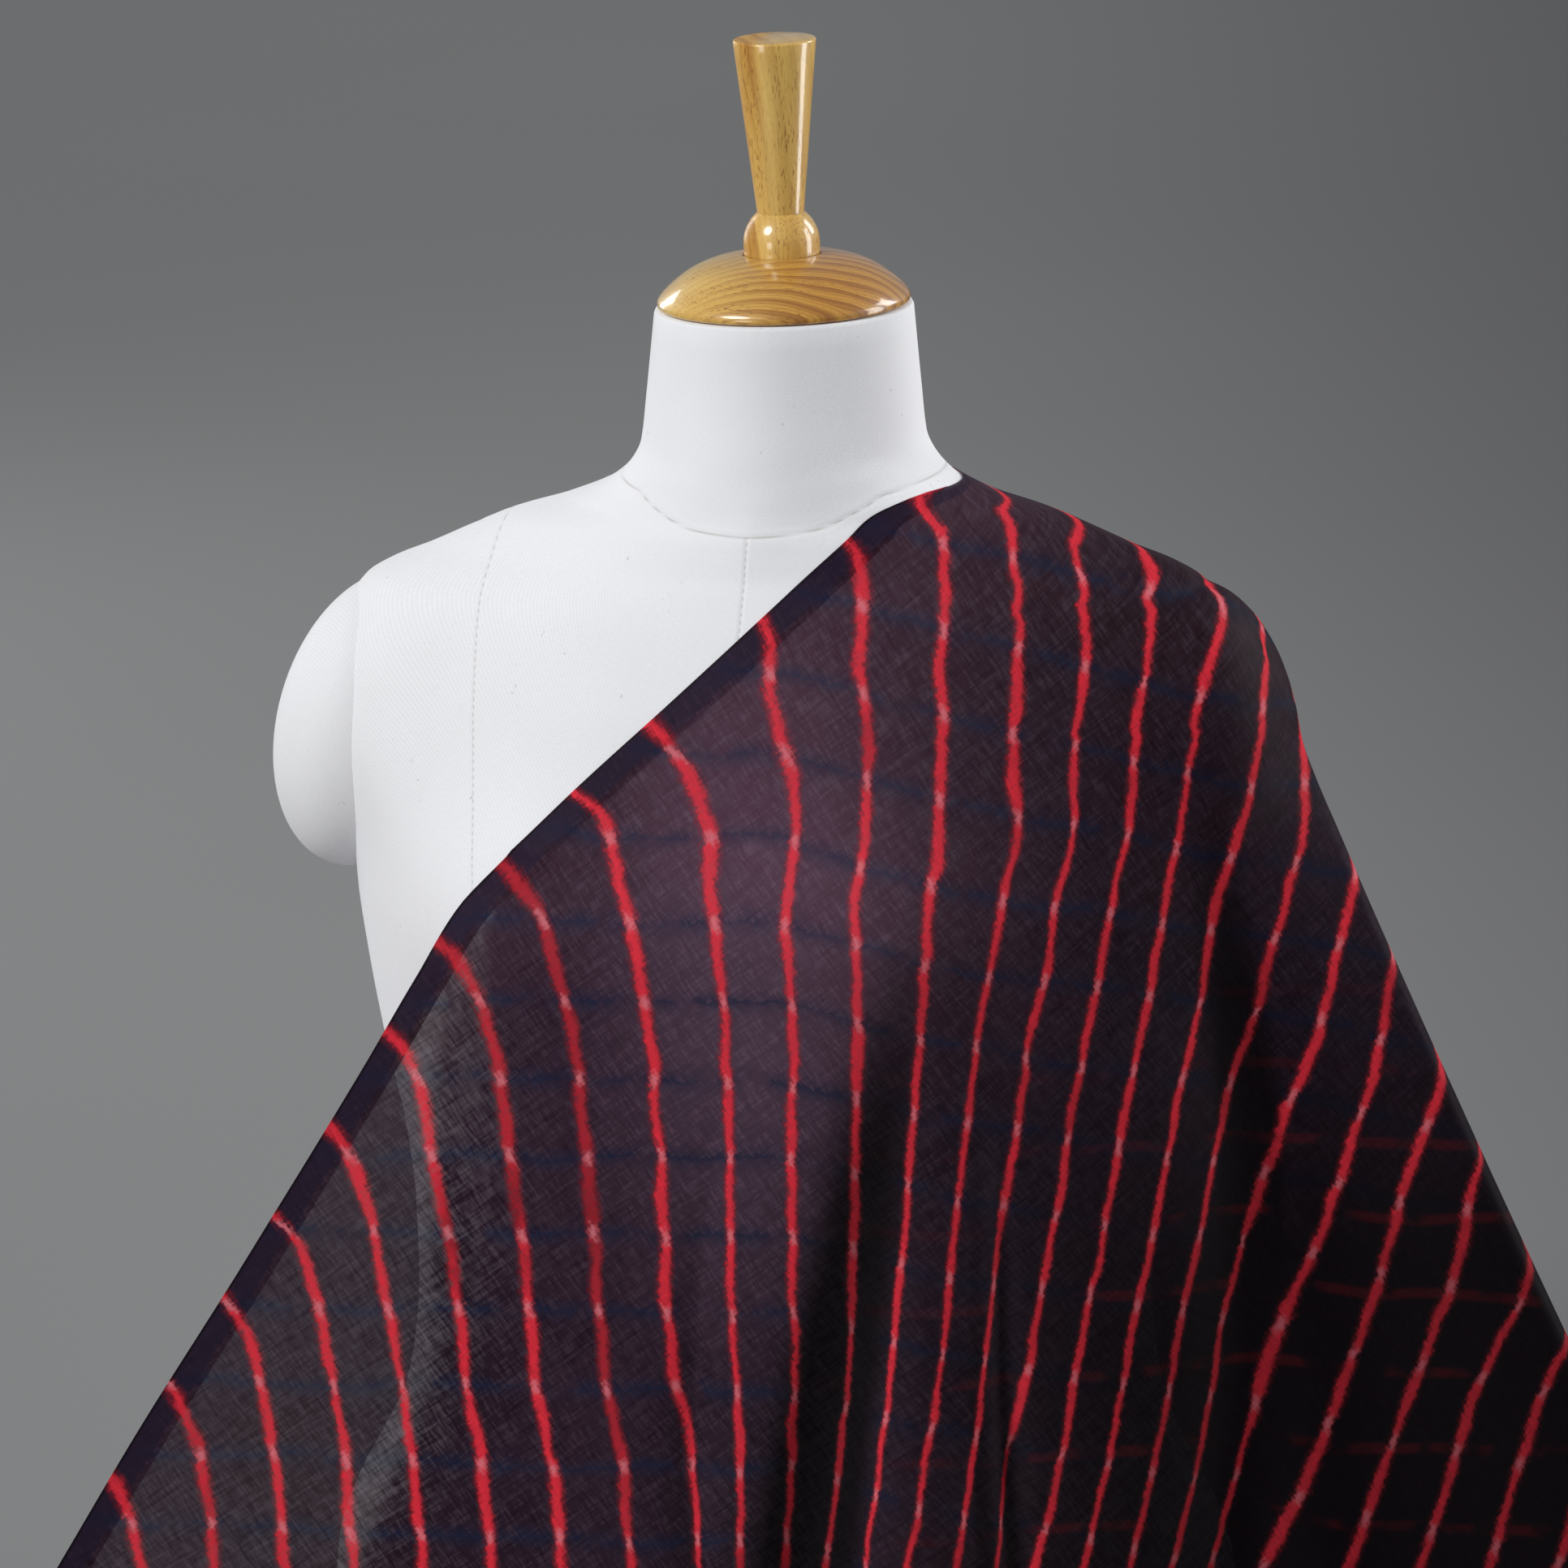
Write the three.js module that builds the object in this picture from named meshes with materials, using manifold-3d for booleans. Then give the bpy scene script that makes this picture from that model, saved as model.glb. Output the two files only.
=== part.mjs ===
// A one-shoulder drape of sheer leheriya tie-dye cloth on a canvas dress form.
// Millimetres, +Z up. The origin is the middle of the form's flat underside, which rests on z = 0, and the form faces -Y.
// The drape is described in its own plan frame (x across the drape, y away from its front), turned DRAPE_TURN about Z from
// the form's.
import * as THREE from "three";
import { mergeVertices } from "three/addons/utils/BufferGeometryUtils.js";
import Module from "manifold-3d";

// ---- driving sizes ----
const DRAPE_TURN = THREE.MathUtils.degToRad(14); // the drape hangs square to a line this far round from the form's front
const SHOULDER_TILT = 0.037; // rise of the form's left shoulder per mm of width
const TILT_FULL_HEIGHT = 250; // the tilt fades out from here down to the underside

const CLOTH_THICKNESS = 1.8;
const CLOTH_REST_GAP = 1.1; // between the form and the cloth that bears on it, at the shoulder
const CLOTH_CHEST_GAP = 2.2; // over the chest and back, where the cloth bridges hollows
const GAP_FULL_HEIGHT = 470; // from here down the cloth keeps the chest gap
const HEM_HEIGHT = 8; // the hem hangs just clear of the surface
const NECK_POINT_HEIGHT = 574.2; // where the selvedge crosses the shoulder beside the neck
const NECK_STRETCH_HEIGHT = 573.2; // the last section below that crossing
const FRONT_FREE_HEIGHT = 430; // the front selvedge leaves the chest here
const ARM_FREE_HEIGHT = 476; // the side fold leaves the arm cap here
const NECK_MEETING = 1; // how far short of the crossing the two selvedges meet
const FOLD_RADIUS = 7; // of the bend at the side fold
const FOLD_SIDES = 12; // round that bend
const FRONT_FLARE = 24; // how far the front stands off a taut line at the hem
const BACK_FLARE = 40;
const FRONT_FLARE_HEIGHT = 360; // flare starts here
const BACK_FLARE_HEIGHT = 420;

const FORM_POINTS = 48; // round each level of the form
const HULL_STEP = 4; // height between the levels that the hanging cloth is checked against
const BEARING_DIRECTIONS = [0, 30, 60, 90].map(THREE.MathUtils.degToRad); // upwards from level, clearances are held along
const RUN_STEP = 2; // either side of a point, for the way its outline runs
const PIECE_GAP = 0.35; // between pieces that touch
const ARM_CAP_GAP = 0.55; // between the form and an arm cap, measured level
const SAME_POINT = 1e-3; // points nearer than this are one

// Levels of the form: height, half width, depth before and behind the middle, and roundness (2 is an ellipse).
const FORM_LEVELS = [
  { z: 0, half: 209, front: 112, back: 118, round: 2.35 },
  { z: 80, half: 204, front: 113, back: 118, round: 2.35 },
  { z: 106, half: 196, front: 112, back: 114, round: 2.3 },
  { z: 130, half: 184, front: 110, back: 108, round: 2.25 },
  { z: 154, half: 173, front: 107, back: 101, round: 2.2 },
  { z: 180, half: 168, front: 104, back: 96, round: 2.2 },
  { z: 207, half: 166, front: 102, back: 93, round: 2.2 },
  { z: 245, half: 167, front: 102, back: 94, round: 2.2 },
  { z: 280, half: 171, front: 104, back: 98, round: 2.2 },
  { z: 320, half: 179.5, front: 107, back: 102, round: 2.25 },
  { z: 360, half: 187, front: 108, back: 106, round: 2.25 },
  { z: 400, half: 192.5, front: 107, back: 108, round: 2.25 },
  { z: 440, half: 194, front: 103, back: 109, round: 2.2 },
  { z: 480, half: 194, front: 95, back: 107, round: 2.1 },
  { z: 505, half: 193, front: 86, back: 102, round: 2.0 },
  { z: 520, half: 190.5, front: 80, back: 96, round: 1.9 },
  { z: 528, half: 187, front: 76.5, back: 91.5, round: 1.8 },
  { z: 535, half: 177, front: 73.5, back: 87.5, round: 1.68 },
  { z: 542, half: 160, front: 70.5, back: 83, round: 1.6 },
  { z: 550, half: 142, front: 68.5, back: 78.5, round: 1.56 },
  { z: 557.8, half: 123, front: 66.5, back: 74, round: 1.55 },
  { z: 563.7, half: 102, front: 64.5, back: 70, round: 1.58 },
  { z: 568.5, half: 88, front: 63.2, back: 66.8, round: 1.7 },
  { z: 574, half: 76, front: 62.2, back: 64.4, round: 1.85 },
  { z: 583, half: 66.5, front: 60.8, back: 61.5, round: 2.0 },
  { z: 592, half: 62.3, front: 60, back: 60, round: 2.0 },
  { z: 612, half: 60, front: 58, back: 58, round: 2.0 },
  { z: 650, half: 56.2, front: 56.2, back: 56.2, round: 2.0 },
];
const BUST = { x: 88, z: 388, width: 52, height: 50, depth: 24 };
const BUST_SIDE_FADE = 2; // how sharply the bust fades out towards the form's sides

// The padded arm caps: where each starts beside the form, how far it reaches, its middle and half height, how much lower its
// tip is, its half depth and its roundness. side is +1 on the form's left.
const ARM_CAPS = [
  { name: "arm_cap_left", side: 1, x: 187, reach: 40, z: 466, high: 62, drop: 8, deep: 50, round: 1.8 },
  { name: "arm_cap_right", side: -1, x: 187, reach: 45.5, z: 461, high: 65.5, drop: 16, deep: 52, round: 2.0 },
];
const ARM_CAP_RINGS = 7;
const ARM_CAP_LAST = THREE.MathUtils.degToRad(86); // the last ring, short of the very tip at 90 degrees
const ARM_OUTLINE_STEP = 0.25; // in rings
const ARM_CAP_SIDES = 28;
const ARM_CAP_ROOT = 150; // the caps are solid in to here before the form is cut out of them

// The front selvedge and the back one: how far across the drape each lies at a height.
const FRONT_SELVEDGE = [
  { z: 0, x: -379.5 },
  { z: 100, x: -324 },
  { z: 180, x: -280 },
  { z: 260, x: -231 },
  { z: 340, x: -182 },
  { z: 380, x: -158.5 },
  { z: 410, x: -139.5 },
  { z: 430, x: -117.5 },
  { z: 460, x: -85.5 },
  { z: 500, x: -41 },
  { z: 540, x: 4.5 },
  { z: 558.5, x: 26.8 },
  { z: 567, x: 37.7 },
  { z: 571.7, x: 52.5 },
  { z: 573.2, x: 63 },
];
const BACK_SELVEDGE = [
  { z: 0, x: -95 },
  { z: 200, x: -38 },
  { z: 400, x: 12 },
  { z: 500, x: 38 },
  { z: 560, x: 54 },
  { z: 573.2, x: 66 },
];
// How far forward the free front selvedge hangs.
const FRONT_SELVEDGE_DEPTH = [
  { z: 0, y: -92 },
  { z: 300, y: -104 },
  { z: 380, y: -103 },
  { z: 412, y: -96 },
  { z: 430, y: -84 },
];
// The fold at the side, from the arm cap down to the hem.
const SIDE_FOLD = [
  { z: 0, x: 438.5, y: -60 },
  { z: 60, x: 409.5, y: -59 },
  { z: 140, x: 369, y: -58 },
  { z: 220, x: 329.5, y: -57 },
  { z: 300, x: 293, y: -56 },
  { z: 380, x: 257.5, y: -55 },
  { z: 420, x: 240.3, y: -55 },
  { z: 445, x: 229.7, y: -55 },
  { z: 460, x: 224.3, y: -55 },
  { z: 476, x: 221.2, y: -55 },
];
// Folds of the front, then of the back: where each lies between the selvedge and the side fold (as a share of the width) at
// the shoulder, at mid height and at the hem, the height where it starts, its depth at the hem and half its width.
const FOLD_LEVELS = [0, 300, 574];
const FRONT_FOLDS = [
  { hem: 0.432, middle: 0.35, shoulder: 0.25, start: 330, depth: 9, half: 7 },
  { hem: 0.454, middle: 0.488, shoulder: 0.53, start: 390, depth: 15, half: 21 },
  { hem: 0.59, middle: 0.601, shoulder: 0.612, start: 330, depth: 13, half: 6 },
  { hem: 0.685, middle: 0.82, shoulder: 0.87, start: 460, depth: 17, half: 28 },
];
const BACK_FOLDS = [
  { hem: 0.36, middle: 0.36, shoulder: 0.4, start: 330, depth: 34, half: 22 },
  { hem: 0.54, middle: 0.55, shoulder: 0.55, start: 330, depth: 40, half: 22 },
  { hem: 0.72, middle: 0.72, shoulder: 0.72, start: 330, depth: 40, half: 22 },
  { hem: 0.88, middle: 0.87, shoulder: 0.86, start: 330, depth: 36, half: 20 },
];
const FOLD_GROWTH = 0.8; // power by which a fold deepens on its way down
const FOLD_CROWDING = 0.6; // share of the columns' spacing that crowds towards the folds
const FLARE_SHELTER = 1.1; // how sharply the flare dies out towards the selvedge and the side fold
const FOLD_SHELTER = 2; // folds die out more sharply still
const FRONT_COLUMNS = [8, 6, 8, 8, 6]; // between the selvedge, the folds and the side fold
const BACK_COLUMNS = [10, 4, 4, 4, 4];
const CLOTH_LEVELS = [
  40, 75, 110, 145, 180, 215, 250, 285, 320, 350, 380, 405, 430, 455, 468, 480, 489, 498, 504, 510, 515, 520, 527,
  533, 539, 546, 553.5, 561, 567, 571, 573.2, 573.5, 573.7, 573.95,
];

// The turned wooden neck cap and its finial.
const CAP_PROFILE = [
  { r: 53.5, z: 0 },
  { r: 55, z: 1.4 },
  { r: 55, z: 2.8 },
  { r: 53.6, z: 5 },
  { r: 51, z: 7.8 },
  { r: 46.5, z: 11.6 },
  { r: 40, z: 15.9 },
  { r: 32, z: 19.2 },
  { r: 23, z: 21.3 },
  { r: 18, z: 22 },
];
const BALL_RADIUS = 16.6;
const BALL_HEIGHT = 27; // its middle, above the underside of the cap; below that the finial is straight
const FINIAL_FOOT = 6; // the finial's underside, sunk into the cap
const HANDLE_TOP_RADIUS = 18;
const HANDLE_FOOT_RADIUS = 10.2;
const HANDLE_TOP_HEIGHT = 115.8;
const HANDLE_EDGE = 1.2; // the eased edge at its top
const BALL_STEPS = 10;
const TURNED_SIDES = 36;

const NECK_TOP = FORM_LEVELS[FORM_LEVELS.length - 1].z;

// ---- curves and outlines ----
const clamp01 = (t) => Math.min(1, Math.max(0, t));
const ease = (t) => clamp01(t) ** 2 * (3 - 2 * clamp01(t));

// A smooth curve through a table's rows that never overshoots them (a monotone cubic).
function through(rows, key, value) {
  const x = rows.map((row) => row[key]);
  const y = rows.map((row) => row[value]);
  const last = x.length - 1;
  const slope = [];
  for (let i = 0; i < last; i++) slope.push((y[i + 1] - y[i]) / (x[i + 1] - x[i]));
  const tangent = y.map((_, i) => {
    if (i === 0) return slope[0];
    if (i === last) return slope[last - 1];
    if (slope[i - 1] * slope[i] <= 0) return 0;
    return (2 * slope[i - 1] * slope[i]) / (slope[i - 1] + slope[i]);
  });
  return (at) => {
    const t = Math.min(x[last], Math.max(x[0], at));
    let i = 0;
    while (i < last - 1 && t > x[i + 1]) i++;
    const span = x[i + 1] - x[i];
    const u = (t - x[i]) / span;
    return (
      y[i] * (1 + 2 * u) * (1 - u) ** 2 +
      tangent[i] * span * u * (1 - u) ** 2 +
      y[i + 1] * u * u * (3 - 2 * u) +
      tangent[i + 1] * span * u * u * (u - 1)
    );
  };
}

// Straight-line reading of y at x, where xs rises.
function read(at, xs, ys) {
  if (at <= xs[0]) return ys[0];
  const last = xs.length - 1;
  if (at >= xs[last]) return ys[last];
  let i = 0;
  while (at > xs[i + 1]) i++;
  return ys[i] + ((ys[i + 1] - ys[i]) * (at - xs[i])) / (xs[i + 1] - xs[i] || 1);
}

// The convex outline round a set of points, counter-clockwise, as a taut cloth lies.
function taut(points) {
  const sorted = [...points].sort((a, b) => a[0] - b[0] || a[1] - b[1]);
  const half = (list) => {
    const out = [];
    for (const p of list) {
      while (out.length > 1) {
        const [ax, ay] = out[out.length - 2];
        const [bx, by] = out[out.length - 1];
        if ((bx - ax) * (p[1] - ay) - (by - ay) * (p[0] - ax) > 0) break;
        out.pop();
      }
      out.push(p);
    }
    return out;
  };
  return [...half(sorted).slice(0, -1), ...half(sorted.reverse()).slice(0, -1)];
}

function runLengths(line) {
  const out = [0];
  for (let i = 1; i < line.length; i++) {
    out.push(out[i - 1] + Math.hypot(line[i][0] - line[i - 1][0], line[i][1] - line[i - 1][1]));
  }
  return out;
}

// ---- the form ----
const formHalf = through(FORM_LEVELS, "z", "half");
const formFront = through(FORM_LEVELS, "z", "front");
const formBack = through(FORM_LEVELS, "z", "back");
const formRound = through(FORM_LEVELS, "z", "round");

// The form's outline at a height, counter-clockwise from +X, pushed out by a distance.
function formOutline(z, out = 0) {
  const points = [];
  for (let i = 0; i < FORM_POINTS; i++) {
    const angle = (i / FORM_POINTS) * 2 * Math.PI;
    const power = 2 / formRound(z);
    const c = Math.cos(angle);
    const s = Math.sin(angle);
    const x = formHalf(z) * Math.sign(c) * Math.abs(c) ** power;
    let y = (s > 0 ? formBack(z) : formFront(z)) * Math.sign(s) * Math.abs(s) ** power;
    if (s < 0) {
      for (const side of [-1, 1]) {
        const away = ((x - side * BUST.x) / BUST.width) ** 2 + ((z - BUST.z) / BUST.height) ** 2;
        y -= BUST.depth * Math.exp(-away) * Math.min(1, BUST_SIDE_FADE * Math.abs(s));
      }
    }
    points.push([x, y]);
  }
  if (!out) return points;
  return points.map((p, i) => {
    const before = points[(i + FORM_POINTS - 1) % FORM_POINTS];
    const after = points[(i + 1) % FORM_POINTS];
    const nx = after[1] - before[1];
    const ny = before[0] - after[0];
    const length = Math.hypot(nx, ny) || 1;
    return [p[0] + (out * nx) / length, p[1] + (out * ny) / length];
  });
}

// The uneven shoulders: a height on the upright form or drape, as it stands.
const tilted = (x, z) => z + SHOULDER_TILT * x * ease(z / TILT_FULL_HEIGHT);

// A closed solid from rings of equal length, each ring a list of [x, y, z], with its first and last rings closed over.
function loft(rings) {
  const position = rings.flat(2);
  const n = rings[0].length;
  const index = [];
  for (let r = 0; r + 1 < rings.length; r++) {
    for (let i = 0; i < n; i++) {
      const a = r * n + i;
      const b = r * n + ((i + 1) % n);
      index.push(a, b, b + n, a, b + n, a + n);
    }
  }
  for (const [ring, flip] of [
    [0, true],
    [rings.length - 1, false],
  ]) {
    const middle = position.length / 3;
    const sum = rings[ring].reduce((m, p) => m.map((v, k) => v + p[k] / n), [0, 0, 0]);
    position.push(...sum);
    for (let i = 0; i < n; i++) {
      const a = ring * n + i;
      const b = ring * n + ((i + 1) % n);
      index.push(middle, flip ? b : a, flip ? a : b);
    }
  }
  return new THREE.BufferGeometry()
    .setAttribute("position", new THREE.BufferAttribute(new Float32Array(position), 3))
    .setIndex(index);
}

function formGeometry(out = 0) {
  return loft(FORM_LEVELS.map(({ z }) => formOutline(z, out).map(([x, y]) => [x, y, tilted(x, z)])));
}

// ---- the arm caps ----
// Rings of an arm cap from its root out to its tip: x outwards, then the half depth and half height there.
function armRing(cap, ring) {
  const angle = (ring / ARM_CAP_RINGS) * ARM_CAP_LAST;
  const share = Math.sin(angle) ** (2 / cap.round);
  const size = Math.cos(angle) ** (2 / cap.round);
  return { x: cap.x + cap.reach * share, z: cap.z - cap.drop * share, high: cap.high * size, deep: cap.deep * size };
}

function armCapGeometry(cap) {
  const rings = [];
  for (let ring = -1; ring <= ARM_CAP_RINGS; ring++) {
    const { x, z, high, deep } = armRing(cap, Math.max(0, ring));
    const outwards = ring < 0 ? ARM_CAP_ROOT : x;
    rings.push(
      Array.from({ length: ARM_CAP_SIDES }, (_, i) => {
        const angle = (i / ARM_CAP_SIDES) * 2 * Math.PI;
        const height = z + high * Math.sin(angle);
        const across = cap.side * outwards;
        return [across, cap.side * deep * Math.cos(angle), tilted(across, height)];
      }),
    );
  }
  return loft(rings);
}

// The arm cap's outline at a height, pushed out by a distance.
function armOutline(cap, z, out) {
  const points = [];
  for (let ring = 0; ring <= ARM_CAP_RINGS; ring += ARM_OUTLINE_STEP) {
    const at = armRing(cap, ring);
    const share = (z - at.z) / at.high;
    if (Math.abs(share) > 1) continue;
    const y = at.deep * Math.sqrt(1 - share * share) + out;
    points.push([cap.side * (at.x + out), y], [cap.side * (at.x + out), -y]);
  }
  return points;
}

// ---- the cloth ----
const frontSelvedge = through(FRONT_SELVEDGE, "z", "x");
const backSelvedge = through(BACK_SELVEDGE, "z", "x");
const frontSelvedgeDepth = through(FRONT_SELVEDGE_DEPTH, "z", "y");
const sideFold = through(SIDE_FOLD, "z", "x");
const sideFoldDepth = through(SIDE_FOLD, "z", "y");

const TURN_COS = Math.cos(DRAPE_TURN);
const TURN_SIN = Math.sin(DRAPE_TURN);
const toDrape = ([x, y]) => [x * TURN_COS + y * TURN_SIN, -x * TURN_SIN + y * TURN_COS];
const toForm = ([x, y]) => [x * TURN_COS - y * TURN_SIN, x * TURN_SIN + y * TURN_COS];

// The form and the arm cap under the cloth at a height, pushed out by a distance in every direction, in the drape's frame.
function bearing(z, out) {
  const points = [];
  for (const angle of BEARING_DIRECTIONS) {
    const level = z - out * Math.sin(angle);
    const sideways = out * Math.cos(angle);
    points.push(...formOutline(level, sideways), ...armOutline(ARM_CAPS[0], level, sideways));
  }
  return points.map(toDrape);
}

// Cloth hangs straight down from whatever holds it out above, so a section's outline takes in all that is higher.
const bearingAbove = new Map();
function hanging(z, out) {
  const first = Math.floor(z / HULL_STEP) * HULL_STEP + HULL_STEP;
  const key = first + "/" + out;
  if (!bearingAbove.has(key)) {
    const points = [];
    for (let level = first; level < NECK_POINT_HEIGHT; level += HULL_STEP) points.push(...bearing(level, out));
    bearingAbove.set(key, points.length ? taut(points) : []);
  }
  return taut([...bearingAbove.get(key), ...bearing(z, out)]);
}

// The taut section of the cloth at a height: its front from the selvedge to the side fold, and its back from there on.
function tautSection(z, out) {
  const points = [...hanging(z, out)];
  const widest = points.reduce((a, b) => (b[0] > a[0] ? b : a))[0];
  if (z < ARM_FREE_HEIGHT) {
    const x = sideFold(z) - FOLD_RADIUS + out;
    for (let i = 0; i < FOLD_SIDES; i++) {
      const angle = (i / FOLD_SIDES) * 2 * Math.PI;
      points.push([x + FOLD_RADIUS * Math.cos(angle), sideFoldDepth(z) + FOLD_RADIUS * Math.sin(angle)]);
    }
  }
  const nearNeck = clamp01((z - NECK_STRETCH_HEIGHT) / (NECK_POINT_HEIGHT - NECK_STRETCH_HEIGHT));
  const frontX = THREE.MathUtils.lerp(frontSelvedge(z), widest - NECK_MEETING, nearNeck);
  const backX = THREE.MathUtils.lerp(backSelvedge(z), widest - NECK_MEETING, nearNeck);
  if (z < FRONT_FREE_HEIGHT) points.push([frontX, frontSelvedgeDepth(z) - out]);
  const outline = taut(points);
  const left = outline.reduce((best, p, i) => (p[0] < outline[best][0] ? i : best), 0);
  const turned = [...outline.slice(left), ...outline.slice(0, left)];
  const right = turned.reduce((best, p, i) => (p[0] > turned[best][0] ? i : best), 0);
  const front = turned.slice(0, right + 1);
  const back = [...turned.slice(right), turned[0]];
  const cut = (line, x) => {
    const way = [...line].sort((a, b) => a[0] - b[0]);
    const edge = [x, read(x, way.map((p) => p[0]), way.map((p) => p[1]))];
    return { edge, rest: line.filter((p) => p[0] > x + SAME_POINT) };
  };
  const atFront = cut(front, frontX);
  const atBack = cut(back, backX);
  return { front: [atFront.edge, ...atFront.rest], back: [...atBack.rest, atBack.edge] };
}

// Columns of points along one side of a section, moved outwards by its flare and inwards by its folds. Columns follow the
// folds down the cloth and crowd towards them.
function folded(line, z, folds, columns, flare, flareHeight) {
  const run = runLengths(line);
  const whole = run[run.length - 1];
  const start = line[0][0];
  const end = line[line.length - 1][0];
  const sign = end > start ? 1 : -1;
  const across = line.map((p) => sign * p[0]);
  const knots = [0];
  for (const fold of folds) {
    const share = read(z, FOLD_LEVELS, [fold.hem, fold.middle, fold.shoulder]);
    knots.push(Math.max(knots[knots.length - 1], read(sign * (start + (end - start) * share), across, run)));
  }
  knots.push(whole);
  const places = [];
  columns.forEach((count, segment) => {
    for (let k = 0; k < count; k++) {
      const share = k / count;
      const crowded = THREE.MathUtils.lerp(share, 0.5 - 0.5 * Math.cos(Math.PI * share), FOLD_CROWDING);
      places.push(THREE.MathUtils.lerp(knots[segment], knots[segment + 1], crowded));
    }
  });
  places.push(whole);
  const point = (at) => [
    read(at, run, line.map((p) => p[0])),
    read(at, run, line.map((p) => p[1])),
  ];
  const flareHere = flare * ease((flareHeight - z) / flareHeight);
  const atEnds = [knots[1], whole - knots[knots.length - 2]];
  return places.map((at) => {
    const [x, y] = point(at);
    const [ax, ay] = point(Math.max(0, at - RUN_STEP));
    const [bx, by] = point(Math.min(whole, at + RUN_STEP));
    const length = Math.hypot(bx - ax, by - ay) || 1;
    const shelter = ease((FLARE_SHELTER * at) / atEnds[0]) * ease((FLARE_SHELTER * (whole - at)) / atEnds[1]);
    let out = flareHere * shelter;
    folds.forEach((fold, i) => {
      const growth = clamp01((fold.start - z) / fold.start) ** FOLD_GROWTH;
      out -= growth * fold.depth * Math.exp(-(((at - knots[i + 1]) / fold.half) ** 2)) * Math.min(1, FOLD_SHELTER * shelter);
    });
    return [x + (out * (by - ay)) / length, y - (out * (bx - ax)) / length];
  });
}

// One level of the cloth, from the front selvedge round the side to the back one, as points on the standing form.
function clothRow(z, out) {
  const { front, back } = tautSection(z, out);
  const row = [
    ...folded(front, z, FRONT_FOLDS, FRONT_COLUMNS, FRONT_FLARE, FRONT_FLARE_HEIGHT),
    ...folded(back, z, BACK_FOLDS, BACK_COLUMNS, BACK_FLARE, BACK_FLARE_HEIGHT).slice(1),
  ];
  return row.map((p) => {
    const [x, y] = toForm(p);
    return [x, y, tilted(x, z)];
  });
}

// The cloth as one closed solid: its outer face, its inner face, and the edges that join them.
function clothGeometry() {
  const restGap = (z) =>
    THREE.MathUtils.lerp(CLOTH_CHEST_GAP, CLOTH_REST_GAP, ease((z - GAP_FULL_HEIGHT) / (NECK_POINT_HEIGHT - GAP_FULL_HEIGHT)));
  const levels = [HEM_HEIGHT, ...CLOTH_LEVELS];
  const face = (extra) => levels.map((z) => clothRow(z, restGap(z) + extra));
  const outer = face(CLOTH_THICKNESS);
  const inner = face(0);
  const width = outer[0].length;
  const crossing = (extra) => {
    const widest = hanging(NECK_POINT_HEIGHT, restGap(NECK_POINT_HEIGHT) + extra).reduce((a, b) => (b[0] > a[0] ? b : a));
    const [x, y] = toForm(widest);
    return [x, y, tilted(x, NECK_POINT_HEIGHT)];
  };
  const position = [...outer.flat(2), ...crossing(CLOTH_THICKNESS), ...inner.flat(2), ...crossing(0)];
  const rows = levels.length;
  const outerTop = rows * width;
  const innerStart = outerTop + 1;
  const innerTop = innerStart + rows * width;
  const index = [];
  const quad = (a, b, c, d) => index.push(a, b, c, a, c, d);
  for (let r = 0; r + 1 < rows; r++) {
    for (let i = 0; i + 1 < width; i++) {
      const a = r * width + i;
      quad(a, a + 1, a + 1 + width, a + width);
      quad(innerStart + a, innerStart + a + width, innerStart + a + 1 + width, innerStart + a + 1);
    }
    const front = r * width;
    const back = front + width - 1;
    quad(innerStart + front, front, front + width, innerStart + front + width);
    quad(back, innerStart + back, innerStart + back + width, back + width);
  }
  const top = (rows - 1) * width;
  for (let i = 0; i + 1 < width; i++) {
    index.push(top + i, top + i + 1, outerTop);
    index.push(innerStart + top + i + 1, innerStart + top + i, innerTop);
    quad(i + 1, i, innerStart + i, innerStart + i + 1);
  }
  quad(innerStart + top, top, outerTop, innerTop);
  quad(top + width - 1, innerStart + top + width - 1, innerTop, outerTop);
  return new THREE.BufferGeometry()
    .setAttribute("position", new THREE.BufferAttribute(new Float32Array(position), 3))
    .setIndex(index);
}

// ---- the neck cap and finial ----
function turned(profile) {
  const geometry = new THREE.LatheGeometry(
    profile.map(({ r, z }) => new THREE.Vector2(r, z)),
    TURNED_SIDES,
  );
  return geometry.rotateX(Math.PI / 2);
}

function capGeometry() {
  const seat = BALL_RADIUS + PIECE_GAP;
  const lip = CAP_PROFILE[CAP_PROFILE.length - 1].z;
  const floor = FINIAL_FOOT - PIECE_GAP;
  return turned([{ r: 0, z: 0 }, ...CAP_PROFILE, { r: seat, z: lip }, { r: seat, z: floor }, { r: 0, z: floor }]);
}

function finialGeometry() {
  const neck = Math.acos(HANDLE_FOOT_RADIUS / BALL_RADIUS);
  const ball = Array.from({ length: BALL_STEPS + 1 }, (_, i) => {
    const angle = (neck * i) / BALL_STEPS;
    return { r: BALL_RADIUS * Math.cos(angle), z: BALL_HEIGHT + BALL_RADIUS * Math.sin(angle) };
  });
  return turned([
    { r: 0, z: FINIAL_FOOT },
    { r: BALL_RADIUS, z: FINIAL_FOOT },
    ...ball,
    { r: HANDLE_TOP_RADIUS, z: HANDLE_TOP_HEIGHT - HANDLE_EDGE },
    { r: HANDLE_TOP_RADIUS - HANDLE_EDGE, z: HANDLE_TOP_HEIGHT },
    { r: 0, z: HANDLE_TOP_HEIGHT },
  ]);
}

// ---- assembly ----
const wasm = await Module();
wasm.setup();

function solid(geometry) {
  geometry.deleteAttribute("normal");
  geometry.deleteAttribute("uv");
  const merged = mergeVertices(geometry, SAME_POINT);
  return new wasm.Manifold(
    new wasm.Mesh({
      numProp: 3,
      vertProperties: merged.attributes.position.array,
      triVerts: new Uint32Array(merged.index.array),
    }),
  );
}

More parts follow.
